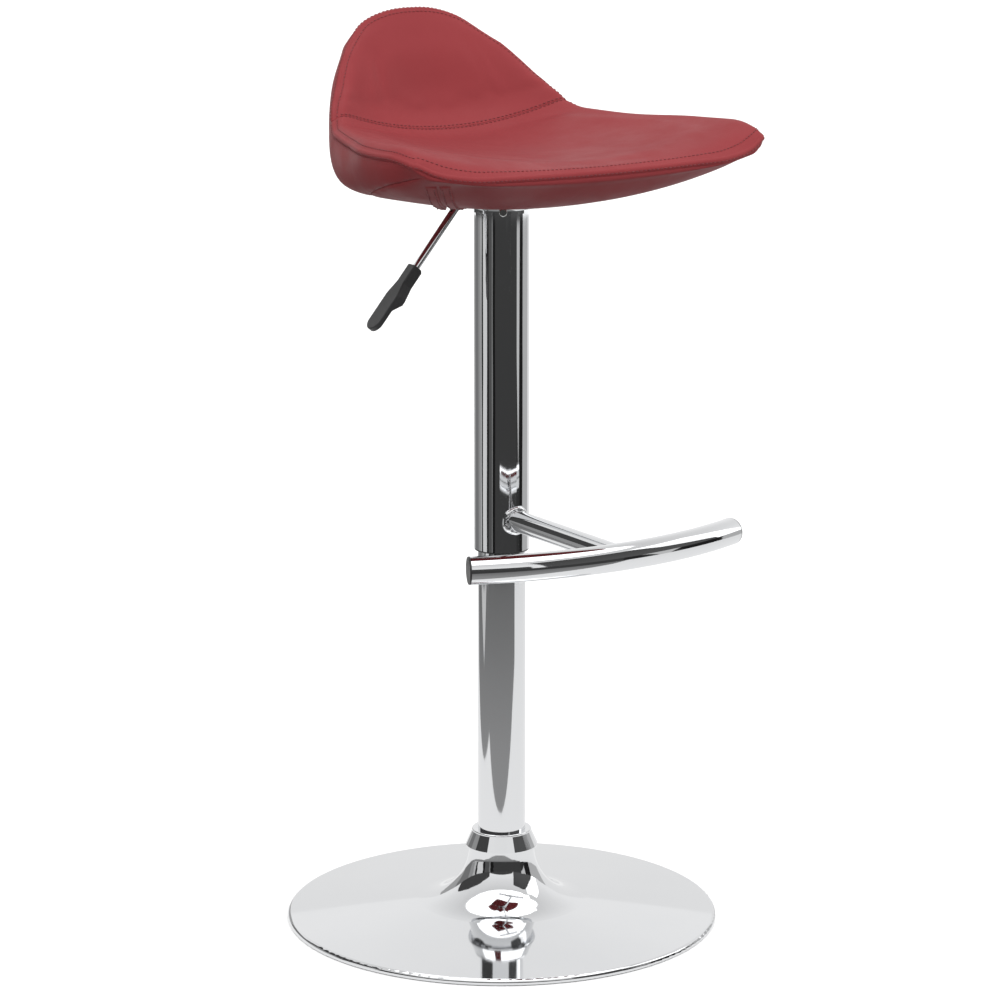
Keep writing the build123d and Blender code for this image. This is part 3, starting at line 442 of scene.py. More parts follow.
def outline(inset):
    """Seat outline laid flat, from the middle of the front to the top of the back, moved in by an inset."""
    run = np.linspace(0, SEAT_END, 1200)
    half = section(run)[0]
    line = np.concatenate([[(0, a) for a in np.linspace(0, half[0], 160)[:-1]], np.stack([run, half], -1),
                           [(SEAT_END, a) for a in np.linspace(half[-1], 0, 12)[1:]]])
    length = np.concatenate([[0], np.cumsum(np.linalg.norm(np.diff(line, axis=0), axis=1))])
    even = np.linspace(0, length[-1], 1500)
    line = np.stack([np.interp(even, length, line[:, k]) for k in (0, 1)], -1)
    for _ in range(60):
        line[1:-1] = (line[:-2] + 2 * line[1:-1] + line[2:]) / 4
    way = np.gradient(line, axis=0)
    way /= np.linalg.norm(way, axis=1)[:, None]
    return line + inset * np.stack([way[:, 1], -way[:, 0]], -1)


def turns(line):
    """Where a line from the front to the top turns into the side and out of it again."""
    way = np.gradient(line[:, :2], axis=0)
    beside = np.flatnonzero(way[:, 0] > np.abs(way[:, 1]))
    return beside[0], beside[-1]


def bowed(line, run, across):
    """Run of a point once the rows near the front edge and near the top follow the line."""
    front, tip = turns(line)
    near = np.clip(1 - (run - line[front, 0]) / BOW_LENGTH, 0, 1) ** 2
    far = np.clip(1 - (line[tip, 0] - run) / BOW_LENGTH, 0, 1) ** 2
    away = np.abs(across)
    front_run = np.interp(away, line[:front + 1, 1], line[:front + 1, 0])
    tip_run = np.interp(away, line[tip:, 1][::-1], line[tip:, 0][::-1])
    return run + near * (front_run - line[front, 0]) + far * (tip_run - line[tip, 0])


panel_line = outline(ROLL)
panel_front, panel_tip = turns(panel_line)


def panel_half(run):
    """Half width of the sewn panel, inside the welt."""
    beside = panel_line[panel_front:panel_tip + 1]
    return np.interp(run, beside[:, 0], beside[:, 1])


def pad_panel(name, runs, seam_last):
    """Closed quad pad: sewn top panel, welt, tucked seam and underside.

    Also gives how firmly each point is held, and the lines that the cover and the stitches follow.
    """
    edge = EDGE_COLUMNS / COLUMNS_HALF
    side = np.concatenate([edge, np.linspace(edge[-1], 1, 19)[1:]])
    cols = np.concatenate([-(1 - side), (1 - side)[::-1][1:]])
    panel = panel_half(runs)[:, None]
    across = panel * cols[None, :]
    run = bowed(panel_line, runs[:, None], across)
    _, lift, depth, _, _, rise = section(run)
    end_gap = run - run[:1] if seam_last else run[-1:] - run
    side_gap = panel * (1 - np.abs(cols[None, :]))
    outer_gap = np.minimum(side_gap, end_gap)
    seam_gap = runs[-1] - run if seam_last else run - runs[0]
    sink = (EDGE_SINK * np.exp(-outer_gap / EDGE_SINK_REACH)
            + SEAM_SINK * np.exp(-seam_gap / SEAM_SINK_REACH))
    end_roll = FRONT_ROLL + CORNER_ROLL * cols[None, :] ** 4 if seam_last else TOP_ROLL
    over = np.maximum(SIDE_ROLL * lift * np.exp(-(side_gap / SIDE_ROLL_REACH) ** ROLL_POWER),
                      end_roll * np.exp(-(end_gap / END_ROLL_REACH) ** ROLL_POWER))
    high = rise + dish(DISH * lift, panel, across) - over - sink
    top = place(run, across, high)
    low_edge = lift - edge_depth(depth)
    middle = np.minimum(FOAM_THICKNESS, FOAM_SHARE * depth)
    low = place(run, across, rise - middle + dish(low_edge + middle, panel, across))
    rows, count = run.shape

    mesh = bmesh.new()
    grid = [[mesh.verts.new(top[i, j]) for j in range(count)] for i in range(rows)]
    loop = ([(0, j) for j in range(count)] + [(i, count - 1) for i in range(1, rows)]
            + [(rows - 1, j) for j in range(count - 2, -1, -1)]
            + [(i, 0) for i in range(rows - 2, 0, -1)])
    pick = tuple(np.array(loop).T)
    rim, rim_run, rim_high = top[pick], run[pick], high[pick]
    above = upward(rim_run)
    seam_row = rows - 1 if seam_last else 0
    sewn = np.array([i == seam_row and 0 < j < count - 1 for i, j in loop])
    along = np.roll(rim, -1, 0) - np.roll(rim, 1, 0)
    for k, (i, j) in enumerate(loop):
        if i == seam_row and j in (0, count - 1):
            beside = top[i - 1 if seam_last else i + 1, j]
            along[k] = (rim[k] - beside) * (1 if seam_last == (j > 0) else -1)
    outward = np.cross(along, above)
    outward /= np.linalg.norm(outward, axis=1)[:, None]
    outward *= np.sign(((rim - rim.mean(0)) * outward).sum())
    wall = np.minimum(WELT, WELT_SHARE * section(rim_run)[2])
    last = [grid[i][j] for i, j in loop]
    for (out, down), (seam_out, seam_down) in zip(WELT_SECTION, TUCK_SECTION):
        out = np.where(sewn, seam_out, out)[:, None]
        down = (np.where(sewn, seam_down, down) * wall)[:, None]
        ring = [mesh.verts.new(p) for p in rim + outward * out - above * down]
        for k in range(len(loop)):
            n = (k + 1) % len(loop)
            mesh.faces.new((last[k], ring[k], ring[n], last[n]))
        last = ring
    under = [[None] * count for _ in range(rows)]
    for k, (i, j) in enumerate(loop):
        under[i][j] = last[k]
    for i in range(1, rows - 1):
        for j in range(1, count - 1):
            under[i][j] = mesh.verts.new(low[i, j])
    for i in range(rows - 1):
        for j in range(count - 1):
            mesh.faces.new((grid[i][j], grid[i][j + 1], grid[i + 1][j + 1], grid[i + 1][j]))
            mesh.faces.new((under[i][j], under[i + 1][j], under[i + 1][j + 1], under[i][j + 1]))
    piece = show(name, mesh, vinyl)
    held = np.ones(len(piece.data.vertices))
    held[:rows * count] = np.exp(-np.minimum(outer_gap, seam_gap).ravel() / HELD_REACH)
    forward = place(rim_run + 1e-4, 0, 0) - place(rim_run - 1e-4, 0, 0)
    forward /= np.linalg.norm(forward, axis=1)[:, None]
    foot_out = WELT_SECTION[WELT_FOOT][0]
    foot = np.stack([rim_run + foot_out * (outward * forward).sum(1), rim[:, 1] + foot_out * outward[:, 1],
                     rim_high - wall], -1)
    order = np.flatnonzero(~sewn)
    order = np.roll(order, -1 if not seam_last else -int(np.argmax(np.diff(order) > 1)) - 1)
    return piece, held, (rim[order], outward[order], above[order], foot[order], wall[order, None])


FOAM_PRESSURE = 4.0
SWELL_CAP = 0.003           # most that the foam lifts the vinyl
SWELL_FRAMES = 20           # length of the simulation


def swell(piece, held, pressure, cap):
    """Cloth under foam pressure, held at its seams; no point moves further than cap."""
    group = piece.vertex_groups.new(name="held")
    for index, weight in enumerate(held):
        group.add([index], float(min(1, weight)), "REPLACE")
    cloth = piece.modifiers.new("foam", "CLOTH")
    cloth.settings.vertex_group_mass = "held"
    cloth.settings.use_pressure = True
    cloth.settings.uniform_pressure_force = pressure
    cloth.settings.effector_weights.gravity = 0
    cloth.collision_settings.use_collision = False
    scene = bpy.context.scene
    for number in range(1, SWELL_FRAMES + 1):
        scene.frame_set(number)
    puffed = piece.evaluated_get(bpy.context.evaluated_depsgraph_get()).to_mesh()
    rest = np.array([v.co for v in piece.data.vertices])
    moved = np.array([v.co for v in puffed.vertices]) - rest
    reach = np.linalg.norm(moved, axis=1)[:, None]
    moved *= np.minimum(1, cap / np.maximum(reach, 1e-9))
    piece.modifiers.remove(cloth)
    scene.frame_set(1)
    piece.data.vertices.foreach_set("co", (rest + moved).astype(np.float32).ravel())
    piece.data.update()


def stand_for(piece, node):
    """The calls that make a padded piece take the place of its CAD solid."""
    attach(piece, "seat")
    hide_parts(node)


def soften(piece):
    """One level of subdivision."""
    smooth = piece.modifiers.new("smooth", "SUBSURF")
    smooth.levels = smooth.render_levels = 1


# Rows near the cross seam, and near the front edge or the top of the back
near_seam = (0.0006, 0.0018, 0.0032, 0.0055, 0.009)
near_front = (0.0012, 0.003, 0.0055, 0.009, 0.0135)
seat_runs = spread(panel_line[panel_front, 0], SEAM_RUN - SEAM_GAP, 0.0075, near_front, near_seam)
back_runs = spread(SEAM_RUN + SEAM_GAP, panel_line[panel_tip, 0], 0.006, near_seam, near_front)
seat_pad, held, seat_rim = pad_panel("seat_panel", seat_runs, True)
swell(seat_pad, held, FOAM_PRESSURE, SWELL_CAP)
soften(seat_pad)
stand_for(seat_pad, "seat_pad")
back_pad, held, back_rim = pad_panel("back_panel", back_runs, False)
swell(back_pad, held, FOAM_PRESSURE, SWELL_CAP)
soften(back_pad)
stand_for(back_pad, "back_pad")


# Lower cover: the vinyl pan under the seat, and the padded band above it that wraps the back and
# tapers along the sides to a point near each front corner. They are sewn together along a slanting seam.
COVER_WALL = 0.0025
FOOT_INSET, FOOT_LAP = 0.0003, 0.0002       # the cover's edge inside the welt's foot, and up behind it
SHOULDER_INSET = 0.003      # least distance of the shoulder inside the rim
BELLY_RUNS, BELLY = (0.20, 0.26), (0.30, 0.21)      # how full the side is before the bend and in it
BELLY_FADE = 0.03           # over this length at the front and the top it goes flat
BELLY_SAG = 0.30            # how far it sags, as a share of the shoulder's distance inside the rim
CLOSE_STEPS = (0.28, 0.58, 0.84, 1.0)       # rows that close the front and the top, as shares of the climb
CLOSE_SWELL, CLOSE_SHARE = 0.0008, 0.10     # how far they swell out, and the most as a share of the climb
BAND_FRONT = Vector((0.141, 0, 0.729))
BAND_SLOPE = math.radians(13.8)
BAND_END = 0.0185           # where the band's point stops, at the front corner
SEAM_PULL, PULL_FADE = 0.0013, 0.03         # how far its seam is drawn in, less over this length at the point
COLUMN_HOLE = 0.036         # radius of the hole for the flange
LEVER_HALF, LEVER_REACH = 0.0065, -0.064    # half width and outer end of the lever's slot
KEYHOLE_ARC = (-1.39, 4.53)                 # round the hole, from one side of that slot to the other
CUT_FROM, CUT_TO = 0.62, 0.72               # heights between which the cover is cut
SLIT_START, SLIT_END = np.array((0.145, -0.158)), np.array((0.016, -0.062))
MOUTH_START, MOUTH_HALF = 0.66, 0.0046      # where along the slit it opens, and how wide


def slit(share, aside):
    """Plan position along the lever placket, and to one side of it."""
    way = SLIT_END - SLIT_START
    return SLIT_START + way * share + np.array((-way[1], way[0])) / np.linalg.norm(way) * aside


def lower_grid():
    """Open sheet that hangs from the welt's foot line and closes round the sides and underside."""
    seat_foot, back_foot = seat_rim[3], back_rim[3]
    middle = len(seat_foot) // 2
    line = np.concatenate([seat_foot[middle:], back_foot[:len(back_foot) // 2 + 1]])
    front, tip = turns(line)
    beside = line[front:tip + 1]
    fine = (0.0012, 0.003, 0.006, 0.0105)
    runs = spread(beside[0, 0], beside[-1, 0], 0.0072, fine, fine)[:, None]
    half = np.interp(runs, beside[:, 0], beside[:, 1]) - FOOT_INSET
    shoulder = np.minimum(section(runs)[3], half - SHOULDER_INSET)
    t = np.linspace(0, 1, 11)[None, :]          # down the side, from the rim to the shoulder
    q = np.linspace(1, -1, 35)[None, 1:-1]      # across the underside, between the shoulders
    rim_up = np.interp(runs, beside[:, 0], beside[:, 2]) + FOOT_LAP

    belly = np.interp(runs, BELLY_RUNS, BELLY)
    belly *= np.clip(np.minimum(runs - runs[0], runs[-1] - runs) / BELLY_FADE, 0, 1)

    def side(rim, drop, rise):
        """Bulging curve from the rim down to the shoulder: distance across, and height."""
        fall, inset = rim - rise + drop, half - shoulder
        bow_y = (half + shoulder) / 2 + fall * belly
        bow_v = (rim - rise - drop) / 2 - BELLY_SAG * inset
        y = (1 - t) ** 2 * half + 2 * t * (1 - t) * bow_y + t * t * shoulder
        return y, (1 - t) ** 2 * (rim - rise) + 2 * t * (1 - t) * bow_v - t * t * drop + rise

    _, _, _, _, drop, rise = section(runs)
    side_y, _ = side(rim_up, drop, rise)
    across = np.concatenate([side_y, shoulder * q, -side_y[:, ::-1]], 1)
    run = bowed(line, runs, across)
    _, _, depth, _, drop, rise = section(run)
    end = t.size
    _, side_v = side(rim_up, drop[:, :end], rise[:, :end])
    low_v = (rise - depth)[:, end:-end] + dish((depth - drop)[:, end:-end], shoulder, shoulder * q)
    height = np.concatenate([side_v, low_v, side_v[:, ::-1]], 1)
    points = place(run, across, height)

    def closing(row, part, outward):
        """Rows that climb from one end section to the foot of the welt above it."""
        part = part[np.argsort(part[:, 1])]
        foot = np.interp(np.abs(across[row]), part[:, 1], part[:, 2]) + FOOT_LAP
        edge = np.maximum(foot, height[row])
        rows = []
        climb = edge - height[row]
        for share in CLOSE_STEPS:
            swing = outward * np.minimum(CLOSE_SWELL, CLOSE_SHARE * climb) * math.sin(math.pi * share)
            rows.append(place(run[row] + swing, across[row], height[row] + climb * share))
        return rows

    return np.array(closing(0, line[:front + 1], -1)[::-1] + list(points) + closing(-1, line[tip:], 1))


def lower_sheet():
    """The sheet as a mesh, with its shoulders eased."""
    points = lower_grid()
    mesh = bmesh.new()
    rows, count, _ = points.shape
    grid = [[mesh.verts.new(points[i, j]) for j in range(count)] for i in range(rows)]
    for i in range(rows - 1):
        for j in range(count - 1):
            mesh.faces.new((grid[i][j], grid[i + 1][j], grid[i + 1][j + 1], grid[i][j + 1]))
    soft = [v for row in grid[2:-2] for v in row[3:-3]]
    for _ in range(6):
        bmesh.ops.smooth_vert(mesh, verts=soft, factor=0.5,
                              use_axis_x=True, use_axis_y=True, use_axis_z=True)
    bmesh.ops.remove_doubles(mesh, verts=mesh.verts, dist=2e-5)
    bmesh.ops.recalc_face_normals(mesh, faces=mesh.faces)
    return mesh


def column_cutter():
    """Plug that leaves room for the flange, for the lever's sweep and for the mouth of the placket."""
    mesh = bmesh.new()
    around = np.linspace(*KEYHOLE_ARC, 60)
    keyhole = [(COLUMN_HOLE * math.cos(a), COLUMN_HOLE * math.sin(a)) for a in around]
    keyhole += [(-LEVER_HALF, LEVER_REACH), (LEVER_HALF, LEVER_REACH)]
    shares = np.linspace(0.662, 0.998, 14)
    gape = [MOUTH_HALF * math.sin(math.pi * (v - MOUTH_START) / (1 - MOUTH_START)) ** 0.7 for v in shares]
    mouth = [tuple(slit(v, wide)) for v, wide in zip(shares, gape)]
    mouth += [tuple(slit(v, -wide)) for v, wide in zip(shares[::-1], gape[::-1])]
    for plan in (keyhole, mouth):
        low, high = ([mesh.verts.new((x, y, z)) for x, y in plan] for z in (CUT_FROM, CUT_TO))
        mesh.faces.new(low[::-1])
        mesh.faces.new(high)
        for k in range(len(plan)):
            n = (k + 1) % len(plan)
            mesh.faces.new((low[k], low[n], high[n], high[k]))
    return show("cutter", mesh, vinyl)


def lower_piece(name, above):
    """The part of the lower sheet above or below the slanting seam, with its seam edge drawn in."""
    mesh = lower_sheet()
    normal = Vector((-math.sin(BAND_SLOPE), 0, math.cos(BAND_SLOPE)))
    end = BAND_FRONT + Vector((BAND_END, 0, 0))
    for point, across in ((BAND_FRONT, normal), (end, Vector((1, 0, 0)))):
        bmesh.ops.bisect_plane(mesh, geom=mesh.verts[:] + mesh.edges[:] + mesh.faces[:], dist=1e-6,
                               plane_co=point, plane_no=across)

    def in_band(face):
        away = face.calc_center_median() - BAND_FRONT
        return away.dot(normal) > 0 and away.x < BAND_END

    bmesh.ops.delete(mesh, geom=[f for f in mesh.faces if in_band(f) != above], context="FACES")
    mesh.normal_update()
    for vert in mesh.verts:
        away = vert.co - BAND_FRONT
        if abs(away.dot(normal)) < 2e-5:
            vert.co -= vert.normal * SEAM_PULL * min(1, max(0, (BAND_END - away.x) / PULL_FADE))
    piece = show(name, mesh, vinyl)
    soften(piece)
    wall = piece.modifiers.new("wall", "SOLIDIFY")
    wall.thickness = COVER_WALL
    wall.offset = -1
    if not above:
        plug = column_cutter()
        hole = piece.modifiers.new("hole", "BOOLEAN")
        hole.operation, hole.solver, hole.object = "DIFFERENCE", "EXACT", plug
    bpy.context.view_layer.update()
    finished = bpy.data.meshes.new_from_object(piece.evaluated_get(bpy.context.evaluated_depsgraph_get()))
    piece.modifiers.clear()
    piece.data = finished
    if not above:
        bpy.data.objects.remove(plug)
    return piece


band = lower_piece("side_band", True)
stand_for(band, "outer_band")
pan_cover = lower_piece("pan_cover", False)
stand_for(pan_cover, "under_cover")


# Placket: the slit by which the cover is drawn on, closed by two sewn hems that run from the front
# corner to the lever. The far hem hangs open at the lever like the lip of a pocket.
HEM_WIDTH = 0.0100
HEM_THICKNESS = 0.0011
HEM_LENGTH = 1.03           # end of the hems, as a share of the slit
HEM_GAP, HEM_OPENING = 0.0011, 0.0042       # from the slit's middle, and how much more at the lever
HEM_HANG = {-1: 0.0014, 1: 0.0060}          # how far each hem hangs at the lever
# Share of a hem's width, and how full its rolled section is there
HEM_SECTION = ((0.0, -0.5), (0.04, 0.55), (0.14, 0.95), (0.5, 1.06), (0.86, 0.95), (0.96, 0.55), (1.0, -0.5))
PUCKER = 0.00035            # how far the hems' crowns wave
BELOW = 0.6                 # height from which the cover is looked up at
COVER_LOW, COVER_TOP = 0.695, 0.745         # heights of the cover here; a higher hit went in at the mouth
UP = Vector((0, 0, 1))


def target(*pieces):
    """Finished surfaces that a piece is laid on."""
    graph = bpy.context.evaluated_depsgraph_get()
    points, faces = [], []
    for piece in pieces:
        mesh = piece.evaluated_get(graph).to_mesh()
        start = len(points)
        points += [v.co.copy() for v in mesh.vertices]
        faces += [[start + k for k in face.vertices] for face in mesh.polygons]
    return BVHTree.FromPolygons(points, faces)


def slack(v):
    """How far the hems hang open, from none at the front corner to fully at the lever."""
    return float(np.clip((v - 0.60) / 0.40, 0, 1)) ** 1.5


def on_hem(side, v, part):
    """Plan position on one hem, part of the way across it."""
    aside = HEM_GAP + HEM_OPENING * slack(v) + HEM_WIDTH * part
    return slit(min(v, 1.0) + max(0, v - 1) * 0.4, side * aside)


bpy.context.view_layer.update()
cover_under = target(pan_cover)
hems = bmesh.new()
for side in (-1, 1):
    last = None
    for v in np.linspace(0, HEM_LENGTH, 48):
        thin_end = min(1, v / 0.03, max(0.05, (HEM_LENGTH - v) / 0.05))
        thick = (HEM_THICKNESS + HEM_HANG[side] * slack(v)) * thin_end
        row = []
        for part, full in HEM_SECTION:
            x, y = on_hem(side, v, part)
            hit = cover_under.ray_cast(Vector((x, y, BELOW)), UP)[0]
            if hit is None or hit.z > COVER_TOP:
                hit = Vector((x, y, row[-1].co.z if row else COVER_LOW))
            pucker = PUCKER * math.sin(v * 46 + side + 5 * part)
            row.append(hems.verts.new((x, y, hit.z - thick * full - (pucker if full > 0.9 else 0))))
        if last:
            for k in range(len(row)):
                n = (k + 1) % len(row)
                hems.faces.new((last[k], last[n], row[n], row[k]))
        else:
            hems.faces.new(row[::-1])
        last = row
    hems.faces.new(last)
placket = show("lever_placket", hems, vinyl)
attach(placket, "seat")
bpy.context.view_layer.update()
placket_top = target(placket, pan_cover)


# Stitching: lock stitches in waxed burgundy thread, coloured darker than the vinyl as painted shade so that
# each row reads as a dark shadowed line. Two rows run along the cross seam, one just inside the welt, one on
# the welt itself and two along each hem of the placket.
PITCH = 0.0044
THREAD, THREAD_SIDES = 0.00043, 6           # radius, and corners of its section
LOOK = 0.012                # the vinyl is looked for within this distance of a row
# Place along a stitch, as a share of the pitch, and height of the thread's middle above the vinyl
STITCH_ARCH = ((-0.36, -0.0004), (-0.22, 0.00018), (0.0, 0.00032), (0.22, 0.00018), (0.36, -0.0004))
EDGE_INSET, FRONT_INSET = 0.0024, 0.0034    # the inner row from the rim, and how much more in front
WELT_ROW = 0.62             # height of the row on the welt, as a share down its wall
SEAM_ROW = 0.0026           # each row from the cross seam
HEM_ROWS = ((-1, 0.86), (-1, 0.24), (1, 0.24), (1, 0.86))   # hem, and place across it

thread, tree, shader = new_finish("thread_with_painted_shade")
# Both shades are darker than the vinyl's: the thread's burgundy plus painted shade for the stitches' own
# shadows.
add_colour(tree, shader, (0.190, 0.020, 0.024), (0.130, 0.014, 0.017), 300.0)
add_smudges(tree, shader, 0.50, 0.66, 200.0)
add_grain(tree, shader, 2600.0, 0.0002, softness=1.0)


def stitch_row(mesh, surface, path, inward):
    """Stitches along a path; each is a short arched thread whose ends dip into the surface."""
    length = np.concatenate([[0], np.cumsum(np.linalg.norm(np.diff(path, axis=0), axis=1))])

    def along(values, at):
        return Vector([float(np.interp(at, length, values[:, k])) for k in range(3)])

    for middle in np.arange(PITCH, length[-1] - PITCH / 2, PITCH):
        rings = []
        for share, up in STITCH_ARCH:
            at = middle + share * PITCH
            into = along(inward, at).normalized()
            hit, normal = surface.ray_cast(along(path, at) - into * LOOK, into, 2 * LOOK)[:2]
            if hit is None:
                break
            normal = normal if normal.dot(into) < 0 else -normal
            way = (along(path, at + 0.0004) - along(path, at - 0.0004)).normalized()
            beside = normal.cross(way).normalized()
            rings.append([hit + normal * (up + THREAD * math.sin(a)) + beside * THREAD * math.cos(a)
                          for a in np.linspace(0, 2 * math.pi, THREAD_SIDES, endpoint=False)])
        else:
            rings = [[mesh.verts.new(p) for p in ring] for ring in rings]
            for one, two in zip(rings, rings[1:]):
                for k in range(THREAD_SIDES):
                    n = (k + 1) % THREAD_SIDES
                    mesh.faces.new((one[k], one[n], two[n], two[k]))
            mesh.faces.new(rings[0][::-1])
            mesh.faces.new(rings[-1])


stitches = bmesh.new()
pads_top = target(seat_pad, back_pad)
for rim, outward, above, _, wall in (seat_rim, back_rim):
    inset = EDGE_INSET + FRONT_INSET * np.maximum(outward[:, :1], 0)
    stitch_row(stitches, pads_top, rim - outward * inset, -above)
    stitch_row(stitches, pads_top, rim - above * WELT_ROW * wall, -outward)
for offset in (-SEAM_ROW, SEAM_ROW):
    run = np.full(60, SEAM_RUN + offset)
    across = np.linspace(-1, 1, 60) * (panel_half(run) - 0.003)
    half, lift = section(run)[:2]
    stitch_row(stitches, pads_top, place(run, across, lift * (across / half) ** 2), -upward(run))
for side, part in HEM_ROWS:
    line = np.array([(*on_hem(side, v, part), 0.700) for v in np.linspace(0.02, 0.93, 40)])
    line[:, 2] = [placket_top.ray_cast(Vector((x, y, BELOW)), UP)[0].z for x, y, _ in line]
    stitch_row(stitches, placket_top, line, np.array([tuple(UP)] * len(line)))
stitching = show("stitching", stitches, thread)
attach(stitching, "seat")

# Studio: a pale paper floor, and soft light from above, from the front and from the right. Dark cloths,
# walls and a ring of screens that only reflections show draw the dark lines down the plated tubes.
CAMERA_BEARING = math.radians(-32.71)
CAMERA_REACH = 3.4
CAMERA_HEIGHT = 1.16483
CAMERA_PITCH = math.radians(12.6515)
FLOOR_HALF = 14.0
SCREEN_RADIUS, SCREEN_HEIGHT, SCREEN_COUNT = 1.37, 0.47, 120
toward = Vector((math.cos(CAMERA_BEARING), math.sin(CAMERA_BEARING), 0))
right = Vector((-toward.y, toward.x, 0))


def clear_from_behind(tree, shader):
    """A look from below passes through the card."""
    facing = tree.nodes.new("ShaderNodeNewGeometry")
    clear = tree.nodes.new("ShaderNodeBsdfTransparent")
    either = tree.nodes.new("ShaderNodeMixShader")
    tree.links.new(facing.outputs["Backfacing"], either.inputs["Fac"])
    tree.links.new(shader.outputs["BSDF"], either.inputs[1])
    tree.links.new(clear.outputs["BSDF"], either.inputs[2])
    tree.links.new(either.outputs["Shader"], tree.nodes["Material Output"].inputs["Surface"])


paper, tree, shader = new_finish("white_paper")
add_colour(tree, shader, (0.90, 0.90, 0.90), (0.885, 0.885, 0.885), 3.0)
add_smudges(tree, shader, 0.85, 0.95, 4.0)
clear_from_behind(tree, shader)


def flat_card(name, corners, finish):
    """One flat face that belongs to the studio."""
    mesh = bpy.data.meshes.new(name)
    mesh.from_pydata([tuple(c) for c in corners], [], [tuple(range(len(corners)))])
    card = bpy.data.objects.new(name, mesh)
    card.data.materials.append(finish)
    bpy.context.scene.collection.objects.link(card)
    return card


corners = ((-1, -1), (1, -1), (1, 1), (-1, 1))
flat_card("floor", [(a * FLOOR_HALF, b * FLOOR_HALF, 0) for a, b in corners], paper)


def glow_finish(name, stops, by, one_sided=False):
    """Card whose even brightness follows its distance from the column or its bearing."""
    finish, tree, shader = new_finish(name)
    shader.inputs["Base Color"].default_value = (0, 0, 0, 1)
    shader.inputs["Specular IOR Level"].default_value = 0.0
    shader.inputs["Emission Strength"].default_value = 1.0
    where = tree.nodes.new("ShaderNodeTexCoord")
    ramp = tree.nodes.new("ShaderNodeValToRGB")
    wire = tree.links.new
    if by == "distance":
        reach = tree.nodes.new("ShaderNodeVectorMath")
        reach.operation = "LENGTH"
        wire(where.outputs["Object"], reach.inputs[0])
        value, low, high = reach.outputs["Value"], 0.0, 5.0
    else:
        axes = tree.nodes.new("ShaderNodeSeparateXYZ")
        angle = tree.nodes.new("ShaderNodeMath")
        angle.operation = "ARCTAN2"
        cloud = tree.nodes.new("ShaderNodeTexNoise")
        cloud.inputs["Scale"].default_value = 5.0
        sway = tree.nodes.new("ShaderNodeMath")
        sway.operation = "MULTIPLY_ADD"
        sway.inputs[1].default_value = 0.10
        wire(where.outputs["Object"], axes.inputs["Vector"])
        wire(where.outputs["Object"], cloud.inputs["Vector"])
        wire(axes.outputs["Y"], angle.inputs[0])
        wire(axes.outputs["X"], angle.inputs[1])
        wire(cloud.outputs["Fac"], sway.inputs[0])
        wire(angle.outputs["Value"], sway.inputs[2])
        value, low, high = sway.outputs["Value"], -math.pi + 0.05, math.pi + 0.05
        ramp.color_ramp.interpolation = "CONSTANT"
    span = tree.nodes.new("ShaderNodeMapRange")
    span.inputs["From Min"].default_value, span.inputs["From Max"].default_value = low, high
    wire(value, span.inputs["Value"])
    wire(span.outputs["Result"], ramp.inputs["Fac"])
    wire(ramp.outputs["Color"], shader.inputs["Emission Color"])
    if one_sided:
        clear_from_behind(tree, shader)
    marks = ramp.color_ramp.elements
    while len(marks) < len(stops):
        marks.new(0.5)
    for mark, (position, grey) in zip(marks, stops):
        mark.position = position
        mark.color = (grey, grey, grey, 1)
    return finish


def on_floor(ahead, aside, height=0.0):
    """Point so far towards the camera and to its right."""
    return toward * ahead + right * aside + Vector((0, 0, height))


def bearing(degrees, reach, height):
    """Point at an angle from the camera's side of the column."""
    return on_floor(reach * math.cos(math.radians(degrees)), reach * math.sin(math.radians(degrees)), height)


def hidden(card, diffuse):
    """Card seen only in reflections; it may light dull surfaces too."""
    card.visible_camera = card.visible_shadow = False
    card.visible_diffuse = diffuse


def card_on_floor(name, height, plan, finish, diffuse):
    """Hidden card laid just above the floor, its plan given ahead and aside of the column."""
    hidden(flat_card(name, [on_floor(a, b, height) for a, b in plan], finish), diffuse)


def wall_card(name, one, two, top):
    """Hidden dark wall between two floor points."""
    up = Vector((0, 0, top))
    hidden(flat_card(name, [one, two, two + up, one + up], dark_wall), False)


far_dark = [(0.0, 0.34), (0.11, 0.30), (0.22, 0.20), (0.34, 0.12), (0.7, 0.06)]
dark_floor = glow_finish("dark_floor", far_dark, "distance", one_sided=True)
dark_wall = glow_finish("dark_wall", far_dark, "distance")
front_cloth = [(0.315, -0.568), (0.36, 0), (0.43, 0.31), (0.45, 0.52),
               (0.56, 1.10), (0.80, 2.4), (4.6, 5), (4.6, -4.6)]
left_cloth = [(0.315, -0.568), (4.6, -4.6), (-4, -4.6), (-2.4, -1.6), (-0.72, -0.60), (-0.04, -0.537)]
card_on_floor("front_cloth", 0.0006, front_cloth[::-1], dark_floor, True)
card_on_floor("left_cloth", 0.0006, left_cloth[::-1], dark_floor, True)

pale_card = glow_finish("pale_card", [(0.0, 0.75), (0.24, 0.62), (0.33, 0.55), (1.0, 0.5)], "distance")
left_gap = [bearing(-93, 0.93, 0.0012), bearing(-77, 1.37, 0.0012), bearing(-113, 1.37, 0.0012)]
right_gap = [bearing(66, 1.34, 0.47), bearing(80, 1.34, 0.47), bearing(75, 1.34, 0.14)]
hidden(flat_card("left_gap", left_gap, pale_card), False)
hidden(flat_card("right_gap", right_gap, pale_card), False)
wall_card("left_wall", on_floor(4.5, -3.6), on_floor(-3, -3.6), 2.8)
wall_card("front_wall", on_floor(4.5, -3.6), on_floor(4.5, 3.2), 2.0)
wall_card("right_wall", bearing(38, 2.6, 0), bearing(98, 2.6, 0), 2.4)
